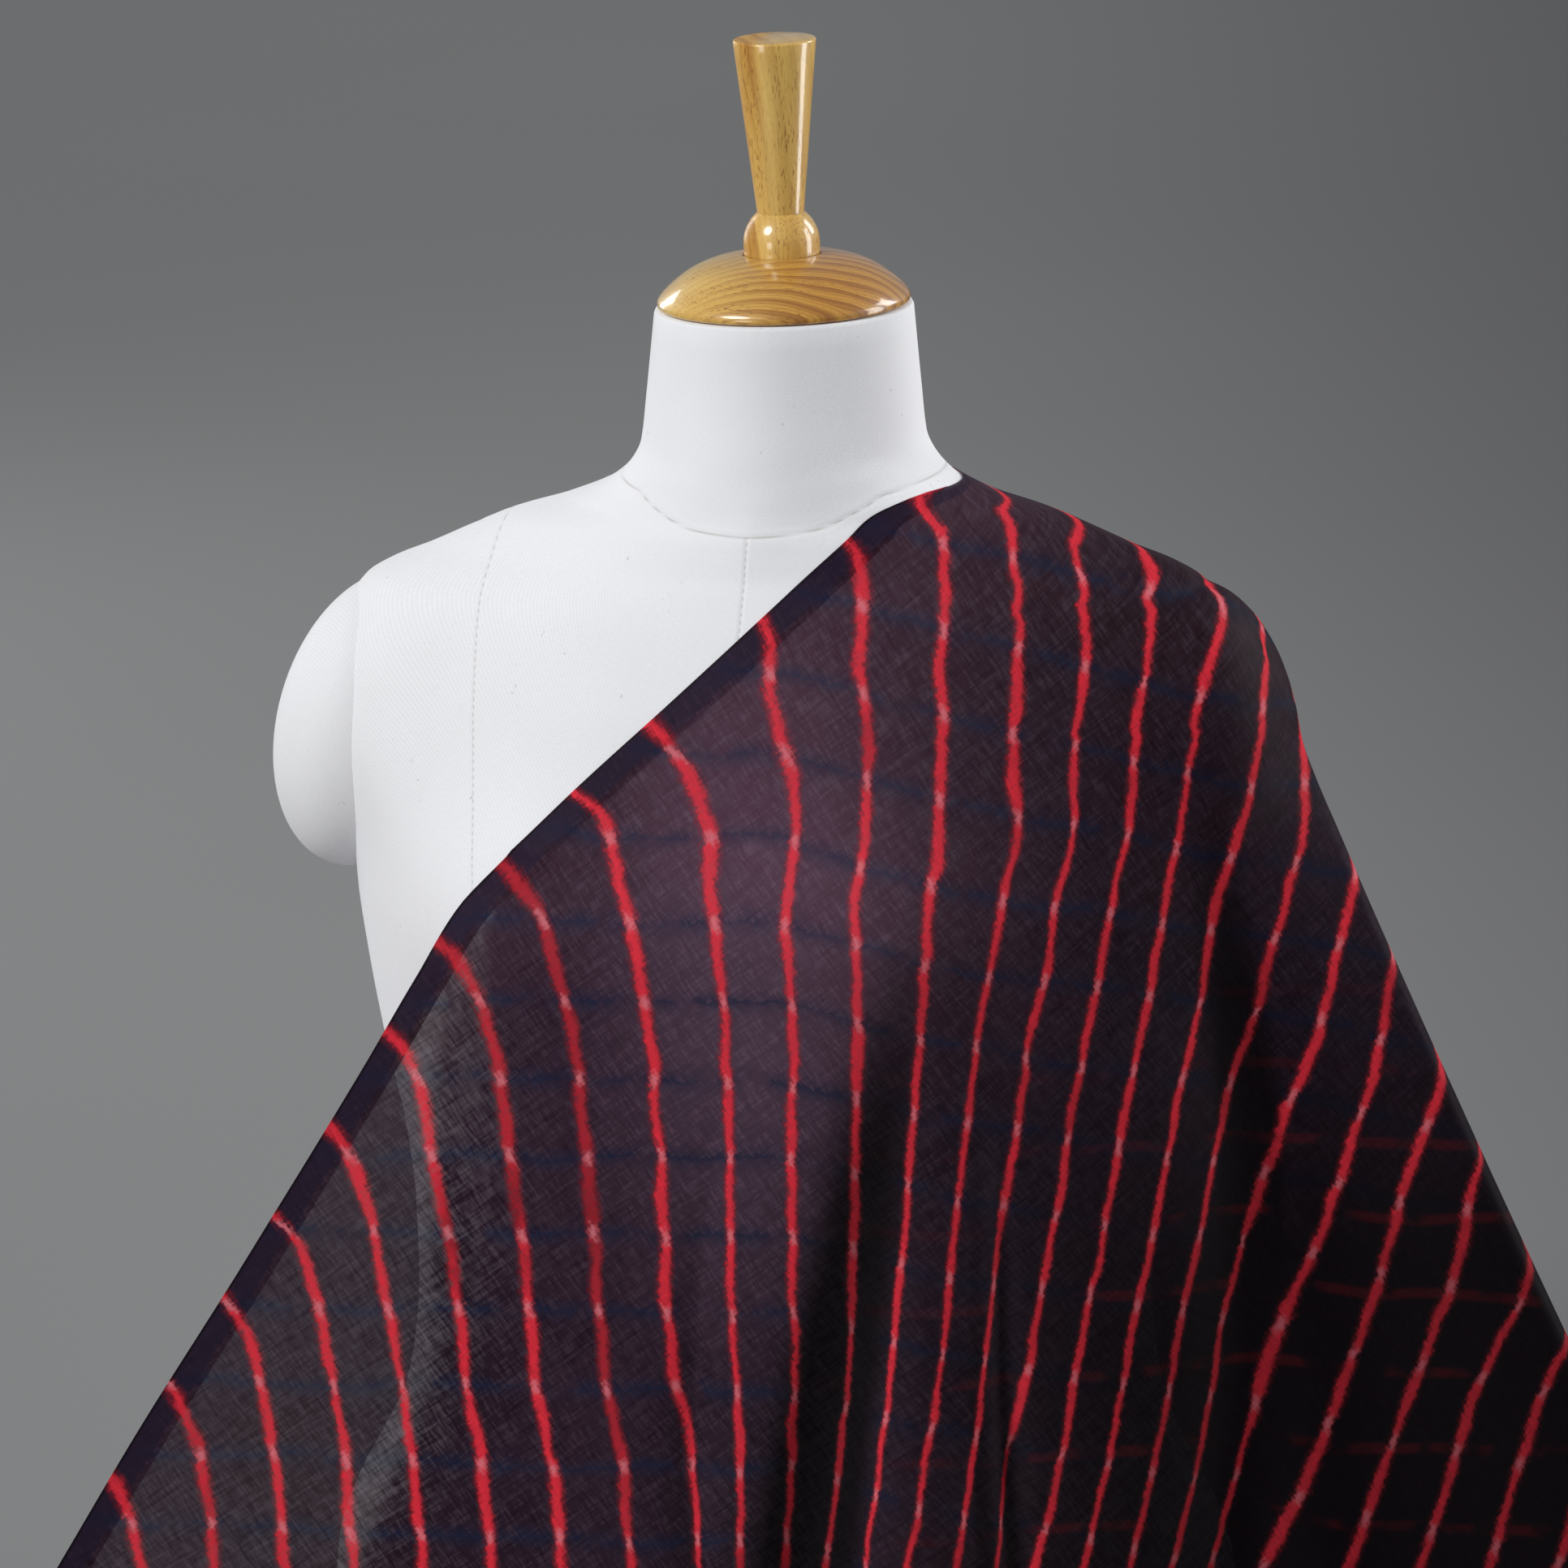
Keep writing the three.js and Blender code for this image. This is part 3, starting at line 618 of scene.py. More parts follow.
@dataclass(frozen=True)
class Leheriya:
    """Sheer cloth dyed twice: red stripes one way, navy lines the other, and pale dots where they cross."""

    ground: Triple = (0.045, 0.020, 0.040)
    dusk: Triple = (0.008, 0.004, 0.008)
    rust: Triple = (0.052, 0.015, 0.017)
    # pale threads, and the colour of the painted highlight over the bust
    pale: Triple = (0.125, 0.070, 0.115)
    navy: Triple = (0.010, 0.015, 0.044)
    border: Triple = (0.018, 0.012, 0.030)
    red: Triple = (0.80, 0.030, 0.052)
    deep_red: Triple = (0.24, 0.010, 0.016)
    dot: Triple = (0.70, 0.21, 0.25)
    shadow: Triple = (0.0024, 0.0011, 0.0022)
    through: Triple = (0.55, 0.24, 0.38)
    pitch: float = STRIPE_PITCH
    stripe_half: float = 1.75 * MM
    cover: float = 0.935
    glow: float = 0.30
    shadow_gap: float = 26 * MM
    border_width: float = 10.5 * MM
    thread_pitch: float = 1.25 * MM
    thread_depth: float = 0.12 * MM
    flank: float = -0.121
    flank_level: float = 0.20
    flank_lean: float = 0.35
    # where the painted highlight over the bust lies, and how far it reaches
    bust: Triple = (0.015, -0.13, 0.375)
    bust_reach: Triple = (0.075, 0.2, 0.155)

    def material(self, name: str) -> bpy.types.Material:
        """The dyed cloth.

        Its UV map "dye" numbers the stripes and the cross lines, and "weave" lies along the threads. The
        attributes hold a point's distance from the front selvedge, how much painted fold shade it takes and
        how far off the form it hangs.

        Args:
            name: The material's name.

        Returns:
            The material.
        """
        shader = Shader(name)
        place = shader.place()
        stripe, cross, _ = shader.parts(shader.uv("dye"))
        warp, weft, _ = shader.parts(shader.uv("weave"))
        from_edge, fold_shade, off_form = (shader.attribute(a) for a in ("from_selvedge", "fold_shade", "off_form"))

        def cloud(scale: float, detail: float = 1.0) -> Signal:
            """Noise over the cloth, with so many waves to a metre."""
            return shader.noise(place, scale, detail)

        def drawn(a: Signal, b: Signal, wide: float, long: float, start: float) -> Signal:
            """Noise in streaks so many threads wide along a, and long along b."""
            streak = (a / (self.thread_pitch * wide), b / (self.thread_pitch * long), start)
            return shader.noise(shader.joined(*streak))

        # Painted shade darkens the cloth towards the right, towards the hem and in its folds, where it also
        # hides more of what is behind it; a painted highlight lightens it over the bust.
        sideways, _, up = shader.parts(place)
        # painted shade on the right-hand part of the cloth
        deep = sideways.step(0.02, 0.22)
        low = up.step(0.42, 0.20)
        near = off_form.step(self.shadow_gap, 2 * MM)
        painted_shade = (deep * (low * 0.45 + 0.40) + low * 0.18).lowest(1.0).highest(fold_shade)
        hidden = deep.highest(fold_shade).highest(low * 0.6)
        middle = shader.vector("SUBTRACT", place, self.bust)
        off_bust = shader.vector("LENGTH", shader.scaled(middle, tuple(1 / size for size in self.bust_reach)))
        # painted highlight over the bust, full near its middle
        painted_bust_highlight = off_bust.step(1.25, 0.15)
        inward = sideways + (self.flank_level - up).highest(0.0) * self.flank_lean - self.flank
        lined = inward.step(-0.006, 0.010) * inward.step(0.110, 0.050) * up.step(0.475, 0.42)

        # The uneven threads of the weave.
        yarn = drawn(warp, weft, 1, 7, 0.0) * 0.55 + drawn(weft, warp, 1, 11, 7.0) * 0.45
        slub = drawn(weft, warp, 2.2, 34, 11.0) * 0.5 + drawn(warp, weft, 2.2, 34, 15.0) * 0.5
        loose = yarn.step(0.66, 0.34) * 0.7 + slub.step(0.62, 0.38) * 0.3

        # Each stripe wanders, steps sideways at a cross line, swells between two and is pinched at each.
        knots = shader.joined(stripe * 0.9, cross * 1.7, 3.0)
        sway = (shader.noise(knots, 1.0, 0.0) - 0.5) * 0.10 + (cloud(13.0) - 0.5) * 0.13
        shiver = (cloud(95.0) - 0.5) * 0.055
        ragged = (cloud(480.0) - 0.5) * 0.05 + (yarn - 0.5) * 0.13
        off_stripe = (stripe + sway + shiver + ragged).from_nearest_whole()
        sway_cross = (cloud(23.0) - 0.5) * 0.30
        off_cross = (cross + sway_cross + shiver * 1.6 + ragged * 1.8).from_nearest_whole()
        half = self.stripe_half / self.pitch
        swell = (cloud(33.0) - 0.5) * 0.080 + half - off_cross.step(0.14, 0.0) * 0.020
        swell = swell - from_edge.step(24 * MM, 0.0) * 0.024
        weak = stripe.step(7.45, 7.70) * stripe.step(8.55, 8.30) * up.step(0.08, 0.20) * 0.58
        weaker = stripe.step(6.45, 6.70) * stripe.step(7.55, 7.30) * up.step(0.27, 0.34) * 0.40
        core = off_stripe.step(swell + 0.042, swell - 0.030) * (1 - weak.highest(weaker))
        bleed = off_stripe.step(swell + 0.095, swell - 0.01)
        faded = cloud(7.0).step(0.55, 0.70) * cloud(31.0).step(0.30, 0.60)
        dots = off_stripe.step(swell + 0.05, 0.0) * off_cross.step(0.14, 0.02)
        broken = cloud(55.0, 2.0).step(0.30, 0.54)
        line = off_cross.step(0.050, 0.010) * broken
        halo = off_cross.step(0.22, 0.03) * broken * 0.50
        ghost = (cross + stripe * 0.15 + sway_cross * 0.6 + 0.45).from_nearest_whole().step(0.10, 0.03)
        ghost = ghost * cloud(42.0, 2.0).step(0.44, 0.60) * deep * low

        edge_band = from_edge.step(self.border_width * 1.02, self.border_width * 0.94)
        dark = yarn.step(0.50, 0.62) * 0.50 + slub.step(0.50, 0.62) * 0.30
        light = yarn.step(0.50, 0.38) * 0.50 + slub.step(0.50, 0.38) * 0.25
        tone: Colour = self.ground
        for share, colour in (
            (cloud(11.0, 3.0).step(0.38, 0.68) * 0.45, self.dusk),
            (cloud(5.0, 2.0).step(0.48, 0.68) * 0.55, self.rust),
            (loose * 0.85, self.dusk),
            (dark, self.dusk),
            # painted highlight over the bust, on the pale threads and on the ground
            (light * (painted_bust_highlight * 0.5 + 0.50), self.pale),
            (painted_bust_highlight * 0.42, self.pale),
            (line * 0.42 + halo * 0.9, self.navy),
            (edge_band * 0.65, self.border),
            (from_edge.step(1.6 * MM, 0.6 * MM) * 0.9, self.dusk),
            # painted shade on the ground, darkest to the right, low down and in the folds
            (painted_shade * 0.97, self.shadow),
            (ghost * 0.22, self.deep_red),
            # the stripes' bleed is dimmed under the painted shade
            (bleed * (0.80 - off_cross * 0.3) * (1 - painted_shade * 0.35), self.deep_red),
            (core * (0.96 - faded * 0.70 - loose * 0.30), self.red),
            (dots * 0.70, self.dot),
            # painted shade again, over the stripes and dots
            (painted_shade * 0.42 + painted_shade.step(0.80, 1.0) * 0.20, self.shadow),
        ):
            tone = shader.mix(share, tone, colour)

        cover = core * 0.04 - loose * 0.08 - near * (1 - hidden) * 0.03 + edge_band * 0.05 + hidden * 0.058
        cover = cover + self.cover + lined * 0.055 - inward.step(0.004, -0.010) * near * 0.07
        held = (near * 0.80 + 0.20) * (1 - hidden) * (1 - loose * 0.55)
        held = held * (painted_bust_highlight * 0.30 + 0.80) * (1 - lined * 0.35)
        lines = line.highest(halo) * (1 - core)
        share = (self.glow - core * 0.15 - lines * 0.18 - edge_band * 0.20) * held
        normal = shader.bump(yarn, self.thread_depth, 0.6)
        inputs = {"Base Color": tone, "Roughness": 0.58, "Alpha": cover, "Normal": normal}
        face = shader.surface({**inputs, "Specular IOR Level": 0.05})
        glow = shader.node("ShaderNodeBsdfTranslucent", inputs={"Color": self.through, "Normal": normal})
        return shader.node("ShaderNodeMixShader", inputs={0: share, 1: face, 2: glow}).finished()


@dataclass(frozen=True)
class PlainFloor:
    """A plain grey floor with a faint unevenness, and painted shade that darkens it towards the right."""

    colour: Triple = (0.213, 0.215, 0.216)
    shade: Triple = (0.204, 0.206, 0.207)
    # the colour of the floor's painted shade on its right
    far: Triple = (0.110, 0.111, 0.114)
    turn: float = FRONT_TURN
    setback: float = 3.85
    nearest: float = 2.4

    def material(self) -> bpy.types.Material:
        """The floor's finish."""
        shader = Shader("floor_finish")
        place = shader.place()
        x, y, _ = shader.parts(place)
        sideways = x * math.cos(self.turn) + y * math.sin(self.turn)
        ahead = (y * math.cos(self.turn) - x * math.sin(self.turn) + self.setback).highest(self.nearest)
        tone = shader.mix(shader.noise(place, 0.7, 2.0).step(0.3, 0.7), self.colour, self.shade)
        # painted shade, darkening the floor towards the right
        tone = shader.mix((sideways / ahead).step(-0.020, 0.149) * 0.95, tone, self.far)
        return shader.surface({"Base Color": tone, "Roughness": 0.9, "Specular IOR Level": 0.1}).finished()


# ---- studio ----


@dataclass(frozen=True)
class Lamp:
    """A soft light with a width and a height. Without them it is far off, its power per square metre."""

    name: str
    place: Triple
    aim: Triple
    power: float
    size: tuple[float, float] = (0.0, 0.0)
    softness: float = math.radians(24)


@dataclass
class Studio:
    """The camera, the floor and the soft lights round the object."""

    turn: float = FRONT_TURN
    pitch: float = math.radians(14.4)
    distance: float = 3.6
    aim: Triple = (0.0, 0.0, 0.435)
    lens: float = 187.8
    sensor: float = 36.0
    floor_size: float = 30.0
    air: Triple = (0.60, 0.61, 0.63)
    air_strength: float = 0.45
    lamps: tuple[Lamp, ...] = (
        Lamp("key_light", (-2.15, -2.65, 2.9), (0.0, 0.0, 0.40), 2.25),
        Lamp("front_light", (-1.2, -2.8, 0.55), (0.0, 0.0, 0.40), 11.5, (0.8, 0.8)),
        Lamp("side_light", (-2.1, 1.8, 1.0), (-0.1, 0.0, 0.35), 14.0, (0.5, 1.4)),
        Lamp("strip_light", (1.56, 0.42, 0.80), (0.0, 0.0, 0.70), 17.0, (0.52, 1.55)),
        Lamp("back_light", (1.7, 1.5, 1.6), (0.0, 0.0, 0.60), 20.0, (0.7, 1.2)),
    )

    def place_camera(self) -> None:
        """Makes the camera and sets it as the scene's."""
        level = Vector((math.sin(self.turn), -math.cos(self.turn), 0.0)) * math.cos(self.pitch)
        aim = Vector(self.aim)
        eye = aim + (level + Vector((0.0, 0.0, math.sin(self.pitch)))) * self.distance
        bpy.ops.object.camera_add(location=eye)
        camera = bpy.context.object
        camera.name = "camera"
        camera.rotation_euler = (aim - eye).to_track_quat("-Z", "Y").to_euler()
        camera.data.lens = self.lens
        camera.data.sensor_width = self.sensor
        bpy.context.scene.camera = camera

    def light(self) -> None:
        """Makes the lamps and the air's even light."""
        for lamp in self.lamps:
            far = lamp.size == (0.0, 0.0)
            bpy.ops.object.light_add(type="SUN" if far else "AREA", location=lamp.place)
            light = bpy.context.object
            light.name = lamp.name
            way = Vector(lamp.aim) - Vector(lamp.place)
            light.rotation_euler = way.to_track_quat("-Z", "Y").to_euler()
            light.data.energy = lamp.power
            if far:
                light.data.angle = lamp.softness
            else:
                light.data.shape = "RECTANGLE"
                light.data.size, light.data.size_y = lamp.size
        world = bpy.data.worlds.new("studio_air")
        world.use_nodes = True
        background = world.node_tree.nodes["Background"]
        background.inputs["Color"].default_value = (*self.air, 1.0)
        background.inputs["Strength"].default_value = self.air_strength
        bpy.context.scene.world = world
        bpy.context.scene.view_settings.view_transform = "Standard"

    def lay_floor(self) -> None:
        """Makes the floor that the object rests on."""
        pick_nothing()
        bpy.ops.mesh.primitive_plane_add(size=self.floor_size, location=(0, 0, 0))
        floor = bpy.context.object
        floor.name = "floor"
        floor.data.materials.append(PlainFloor().material())


# ---- the dress form ----


@dataclass(frozen=True)
class ArmCap:
    """A padded cap over one arm plate: its start, reach, middle, half sizes, droop and roundness."""

    side: int
    start: float
    reach: float
    middle: float
    high: float
    drop: float
    deep: float
    round: float
    root: float = 0.168
    last: float = math.radians(88)

    def ring(self, share: float) -> Triple:
        """A ring of the cap, 0 at its start and 1 at its tip: how far out, how high up, and its size."""
        angle = share * self.last
        out = math.sin(angle) ** (2 / self.round)
        size = math.cos(angle) ** (2 / self.round)
        return self.start + self.reach * out, self.middle - self.drop * out, size


@dataclass
class FormShape:
    """The dress form's outline at each height, before its uneven shoulders tilt it."""

    levels: Rows = (
        # height, half width, depth before and behind the middle, roundness (2 is an ellipse)
        (0.000, 0.209, 0.112, 0.118, 2.35),
        (0.080, 0.204, 0.113, 0.118, 2.35),
        (0.106, 0.196, 0.112, 0.114, 2.30),
        (0.130, 0.184, 0.110, 0.108, 2.25),
        (0.154, 0.173, 0.107, 0.101, 2.20),
        (0.180, 0.168, 0.104, 0.096, 2.20),
        (0.207, 0.166, 0.102, 0.093, 2.20),
        (0.245, 0.167, 0.102, 0.094, 2.20),
        (0.280, 0.171, 0.104, 0.098, 2.20),
        (0.320, 0.1795, 0.107, 0.102, 2.25),
        (0.360, 0.187, 0.108, 0.106, 2.25),
        (0.400, 0.1925, 0.107, 0.108, 2.25),
        (0.440, 0.194, 0.103, 0.109, 2.20),
        (0.480, 0.194, 0.095, 0.107, 2.10),
        (0.505, 0.193, 0.086, 0.102, 2.00),
        (0.520, 0.1905, 0.080, 0.096, 1.90),
        (0.528, 0.187, 0.0765, 0.0915, 1.80),
        (0.535, 0.177, 0.0735, 0.0875, 1.68),
        (0.542, 0.160, 0.0705, 0.083, 1.60),
        (0.550, 0.142, 0.0685, 0.0785, 1.56),
        (0.5578, 0.123, 0.0665, 0.074, 1.55),
        (0.5637, 0.102, 0.0645, 0.070, 1.58),
        (0.5685, 0.088, 0.0632, 0.0668, 1.70),
        (0.574, 0.076, 0.0622, 0.0644, 1.85),
        (0.583, 0.0665, 0.0608, 0.0615, 2.00),
        (0.592, 0.0623, 0.060, 0.060, 2.00),
        (0.612, 0.060, 0.058, 0.058, 2.00),
        (0.650, 0.0562, 0.0562, 0.0562, 2.00),
    )
    bust: tuple[float, float] = (0.088, 0.388)
    bust_half: tuple[float, float] = (0.052, 0.050)
    bust_depth: float = 0.024
    bust_side_fade: float = 2.0
    tilt: float = 0.037
    tilt_full_height: float = 0.250
    points: int = 160
    arm_slices: int = 29
    left_cap: ArmCap = ArmCap(1, 0.187, 0.040, 0.466, 0.062, 0.008, 0.050, 1.8)
    right_cap: ArmCap = ArmCap(-1, 0.187, 0.0455, 0.461, 0.0655, 0.016, 0.052, 2.0)

    def __post_init__(self) -> None:
        """Draws the curves through the levels."""
        self.half, self.front, self.back, self.round = columns_of(self.levels)

    @property
    def neck_top(self) -> float:
        """The height of the top of the neck."""
        return self.levels[-1][0]

    def outline(self, z: float, out: float = 0.0) -> np.ndarray:
        """The form's outline at a height, counter-clockwise from +X, pushed out by a distance."""
        angle = np.arange(self.points) / self.points * 2 * math.pi
        c, s = np.cos(angle), np.sin(angle)
        power = 2 / self.round(z)
        x = self.half(z) * np.sign(c) * np.abs(c) ** power
        y = np.where(s > 0, self.back(z), self.front(z)) * np.sign(s) * np.abs(s) ** power
        (bust_x, bust_z), (half_x, half_z) = self.bust, self.bust_half
        for side in (-1, 1):
            away = ((x - side * bust_x) / half_x) ** 2 + ((z - bust_z) / half_z) ** 2
            swell = self.bust_depth * np.exp(-away) * np.minimum(1, self.bust_side_fade * np.abs(s))
            y = y - np.where(s < 0, swell, 0.0)
        line = np.stack([x, y], axis=1)
        way = np.roll(line, -1, axis=0) - np.roll(line, 1, axis=0)
        outwards = outward(way)
        return line + out * outwards / np.linalg.norm(outwards, axis=1, keepdims=True)

    def arm_outline(self, z: float, out: float) -> np.ndarray:
        """The outline at a height of the arm cap under the cloth, pushed out by a distance."""
        cap = self.left_cap
        points = []
        for share in np.linspace(0, 1, self.arm_slices):
            x, middle, size = cap.ring(float(share))
            level = (z - middle) / (cap.high * size)
            if abs(level) <= 1:
                y = cap.deep * size * math.sqrt(1 - level * level) + out
                points += [(cap.side * (x + out), y), (cap.side * (x + out), -y)]
        return np.array(points).reshape(-1, 2)

    def standing(self, x: Values, z: float) -> Values:
        """Where a height on the upright form lies on the standing one, whose left shoulder is the higher."""
        return z + self.tilt * x * ease(z / self.tilt_full_height)

    def upright(self, x: Values, z: Values) -> Values:
        """Where a height on the standing form lies on the upright one."""
        return z - self.tilt * x * ease(z / self.tilt_full_height)


@dataclass
class DressForm:
    """The canvas-covered form: the torso, and the padded caps over its arm plates."""

    shape: FormShape
    canvas: Canvas = Canvas()
    rim: float = 1.6 * MM
    rim_near: float = 0.1 * MM
    foot_least: float = 0.09
    neck_least: float = 0.05
    outline_step: float = 0.25 * MM
    torso_round: float = 0.15
    cap_round: float = 0.05
    neck_seam: Rows = (
        (-0.066, 0.5600),
        (-0.059, 0.563),
        (-0.049, 0.570),
        (-0.039, 0.575),
        (0.0, 0.578),
        (0.066, 0.575),
    )
    princess_seam: Rows = (
        (0.0, 0.118),
        (0.20, 0.090),
        (0.34, 0.100),
        (0.416, 0.113),
        (0.442, 0.116),
        (0.499, 0.121),
        (0.539, 0.123),
        (0.60, 0.123),
    )
    swell: float = 12.8 * MM
    swell_across: tuple[float, float] = (0.130, 0.036)
    swell_rise: tuple[float, float] = (0.400, 0.065)
    swell_fall: tuple[float, float] = (0.535, 0.050)
    cap_sides: int = 56
    cap_rings: int = 14

    def build(self) -> list[Piece]:
        """Builds the torso and both arm caps."""
        return [
            self.build_torso(),
            self.build_cap(self.shape.left_cap, "arm_cap_left"),
            self.build_cap(self.shape.right_cap, "arm_cap_right"),
        ]

    def build_torso(self) -> Piece:
        """The torso: the frame's own solid, with eased rims and a finely rounded surface."""
        torso = copy_of_node("torso", "torso_cover")
        for height, least in ((0.0, self.foot_least), (self.shape.neck_top, self.neck_least)):
            edit(torso, "EDGE", selected=False)
            choose_edges(torso, lambda p: self.on_rim(p, height, least))
            bpy.ops.mesh.bevel(offset=self.rim, segments=2, affect="EDGES")
        finish_edit()
        apply_modifier(torso, "SUBSURF", subdivision_type="SIMPLE", levels=2, render_levels=2)
        self.round_out(torso)
        smooth(torso, 60)
        self.wrap_cover(torso, Vector((0, 0, 0)), self.torso_round, upright=True)
        self.mark_seams(torso)
        cover = self.canvas.material("canvas_torso", ("across", "neck_line", "princess"))
        settle(torso, "torso", cover)
        return torso

    def on_rim(self, point: Vector, height: float, least: float) -> bool:
        """Whether a point is on the torso's end at a height, and out at its rim."""
        return abs(point.z - self.shape.standing(point.x, height)) < self.rim_near and point.xy.length > least

    def round_out(self, torso: Piece) -> None:
        """Moves the torso's points out onto its true outline, except on its ends and their rims."""
        top = self.shape.neck_top
        outlines: dict[int, tuple[np.ndarray, np.ndarray]] = {}
        for vertex in torso.data.vertices:
            x, y, z = vertex.co
            upright = self.shape.upright(x, z)
            if upright < 2 * self.rim or upright > top - 2 * self.rim:
                continue
            level = round(upright / self.outline_step)
            if level not in outlines:
                outlines[level] = reach_round(self.shape.outline(level * self.outline_step))
            wanted = float(np.interp(math.atan2(y, x), *outlines[level], period=2 * math.pi))
            share = wanted / math.hypot(x, y)
            stands = self.shape.standing(x * share, upright)
            vertex.co = (x * share - self.side_swell(-x * share, stands), y * share, stands)

    def side_swell(self, out: float, z: float) -> float:
        """How far the form's bare side swells over its arm cap's root, at a distance out and a height."""
        share = ease((out - self.swell_across[0]) / self.swell_across[1])
        rise = ease((z - self.swell_rise[0]) / self.swell_rise[1])
        return self.swell * share * rise * ease((self.swell_fall[0] - z) / self.swell_fall[1])

    def wrap_cover(self, piece: Piece, middle: Vector, radius: float, upright: bool) -> None:
        """Lays the canvas round a piece: a UV map in metres, round its axis and along it.

        Args:
            piece: The piece.
            middle: A point on the axis.
            radius: What makes an angle round the axis a distance.
            upright: Whether the axis is Z. Otherwise it is X.
        """
        mesh = piece.data
        layer = mesh.uv_layers.get("cover") or mesh.uv_layers.new(name="cover")
        for face in mesh.polygons:
            places = [mesh.vertices[vertex].co for vertex in face.vertices]
            ways = [place - middle for place in places]
            angles = [math.atan2(p.x, -p.y) if upright else math.atan2(p.y, p.z) for p in ways]
            wrap = 2 * math.pi if max(angles) - min(angles) > math.pi else 0.0
            for corner, place, angle in zip(face.loop_indices, places, angles):
                along = place.z if upright else place.x
                layer.data[corner].uv = ((angle + (wrap if angle < 0 else 0.0)) * radius, along)

    def mark_seams(self, torso: Piece) -> None:
        """Stores each vertex's distance to the centre, neck and princess seams."""
        co = np.array([v.co for v in torso.data.vertices])
        x, y = co[:, 0], co[:, 1]
        z = self.shape.upright(x, co[:, 2])
        neck = z - columns_of(self.neck_seam)[0](y)
        lines = {"neck_line": neck, "across": x, "princess": np.abs(x) - columns_of(self.princess_seam)[0](z)}
        for name, values in lines.items():
            store(torso, name, values)

    def build_cap(self, cap: ArmCap, name: str) -> Piece:
        """An arm cap: a disc extruded outwards ring by ring, each smaller, and closed at its tip."""
        piece = disc(name + "_cover", self.cap_sides, 1.0)
        bpy.ops.transform.rotate(value=math.radians(90), orient_axis="Y", center_override=(0, 0, 0))
        bpy.ops.transform.resize(value=(1, cap.deep, cap.high), center_override=(0, 0, 0))
        lift = self.shape.tilt * cap.side
        start = Vector((cap.side * cap.root, 0, cap.middle + lift * cap.root))
        bpy.ops.transform.translate(value=start)
        size = 1.0
        for k in range(self.cap_rings + 1):
            out, height, next_size = cap.ring(k / self.cap_rings)
            here = Vector((cap.side * out, 0, height + lift * out))
            share = next_size / size
            extrude(here - start, (1, share, share), here)
            start, size = here, next_size
        bpy.ops.mesh.merge(type="CENTER")
        finish_edit()
        apply_modifier(piece, "SUBSURF", levels=1, render_levels=1)
        smooth(piece, 60)
        self.wrap_cover(piece, Vector((0, 0, cap.middle + lift * cap.start)), self.cap_round, upright=False)
        settle(piece, name, self.canvas.material("canvas_" + name))
        return piece


@dataclass
class NeckTop:
    """The turned wooden cap on the neck, and the ball and handle that sit in it."""

    shape: FormShape
    wood: Wood = Wood()
    gap: float = 0.35 * MM
    cap_rows: Rows = (
        # height above the cap's underside, radius
        (0.0014, 0.0550),
        (0.0028, 0.0550),
        (0.0050, 0.0536),
        (0.0078, 0.0510),
        (0.0116, 0.0465),
        (0.0159, 0.0400),
        (0.0192, 0.0320),
        (0.0213, 0.0230),
        (0.0220, 0.0180),
    )
    ball_radius: float = 0.0166
    ball_height: float = 0.027
    finial_foot: float = 0.006
    handle_foot: float = 0.0102
    handle_top: float = 0.0180
    handle_height: float = 0.1158
    foot_rows: Rows = ((0.0530, 0.0), (0.0542, 0.3 * MM), (0.0548, 0.8 * MM))
    lip: float = 0.5 * MM
    edge: float = 1.2 * MM
    sides: int = 96
    dome_rings: int = 26
    handle_rings: int = 14

    @property
    def seat(self) -> Vector:
        """The middle of the cap's underside."""
        return Vector((0, 0, self.shape.neck_top + self.gap))

    def build(self) -> None:
        """Builds the cap and the finial."""
        self.turn_piece("neck_cap", self.cap_profile(), "wood_cap", Grain.FANNED)
        self.turn_piece("finial", self.finial_profile(), "wood_finial", Grain.UPRIGHT)

    def turn_piece(self, node: str, profile: Rows, finish: str, grain: Grain) -> None:
        """Turns a piece, stands it on the neck and dresses it.

        Args:
            node: The CAD node that it stands for.
            profile: Rows of (radius, height above the seat).
            finish: Its material's name.
            grain: How it was cut.
        """
        piece = turn(node + "_turned", profile, self.sides)
        tilt(piece, math.atan(self.shape.tilt), self.seat)
        smooth(piece, 50)
        settle(piece, node, self.wood.material(finish, grain, self.seat))

    def cap_profile(self) -> Rows:
        """The cap's profile: a low dome with a rounded rim and a round hole for the finial."""
        dome = columns_of(self.cap_rows)[0]
        foot, crown = self.cap_rows[0][0], self.cap_rows[-1][0]
        heights = foot + (crown - foot) * np.sin(np.linspace(0, math.pi / 2, self.dome_rings))
        seat, lip = self.ball_radius + self.gap, self.lip
        rows = [*self.foot_rows, *((float(dome(h)), float(h)) for h in heights)]
        rows += [(seat + lip, crown), (seat + lip * 0.3, crown - lip * 0.3), (seat, crown - lip)]
        return [*rows, (seat, self.finial_foot), (seat - lip, self.finial_foot - self.gap)]

    def finial_profile(self) -> Rows:
        """The finial: a straight foot, a ball's upper half, and a handle that widens to an eased edge."""
        edge = self.edge
        rows = [(self.ball_radius - edge, self.finial_foot), (self.ball_radius, self.finial_foot + edge)]
        for angle in np.linspace(0, math.acos(self.handle_foot / self.ball_radius), self.handle_rings):
            height = self.ball_height + self.ball_radius * math.sin(angle)
            rows.append((self.ball_radius * math.cos(angle), height))
        shoulder = self.handle_height - edge
        foot = rows[-1][1]
        for share in np.linspace(0.02, 1, self.handle_rings):
            rows.append((blend(self.handle_foot, self.handle_top, share), blend(foot, shoulder, share)))
        for angle in np.radians([20, 45, 70, 90]):
            rows.append((self.handle_top - edge * (1 - math.cos(angle)), shoulder + edge * math.sin(angle)))
        return rows


# ---- the cloth ----


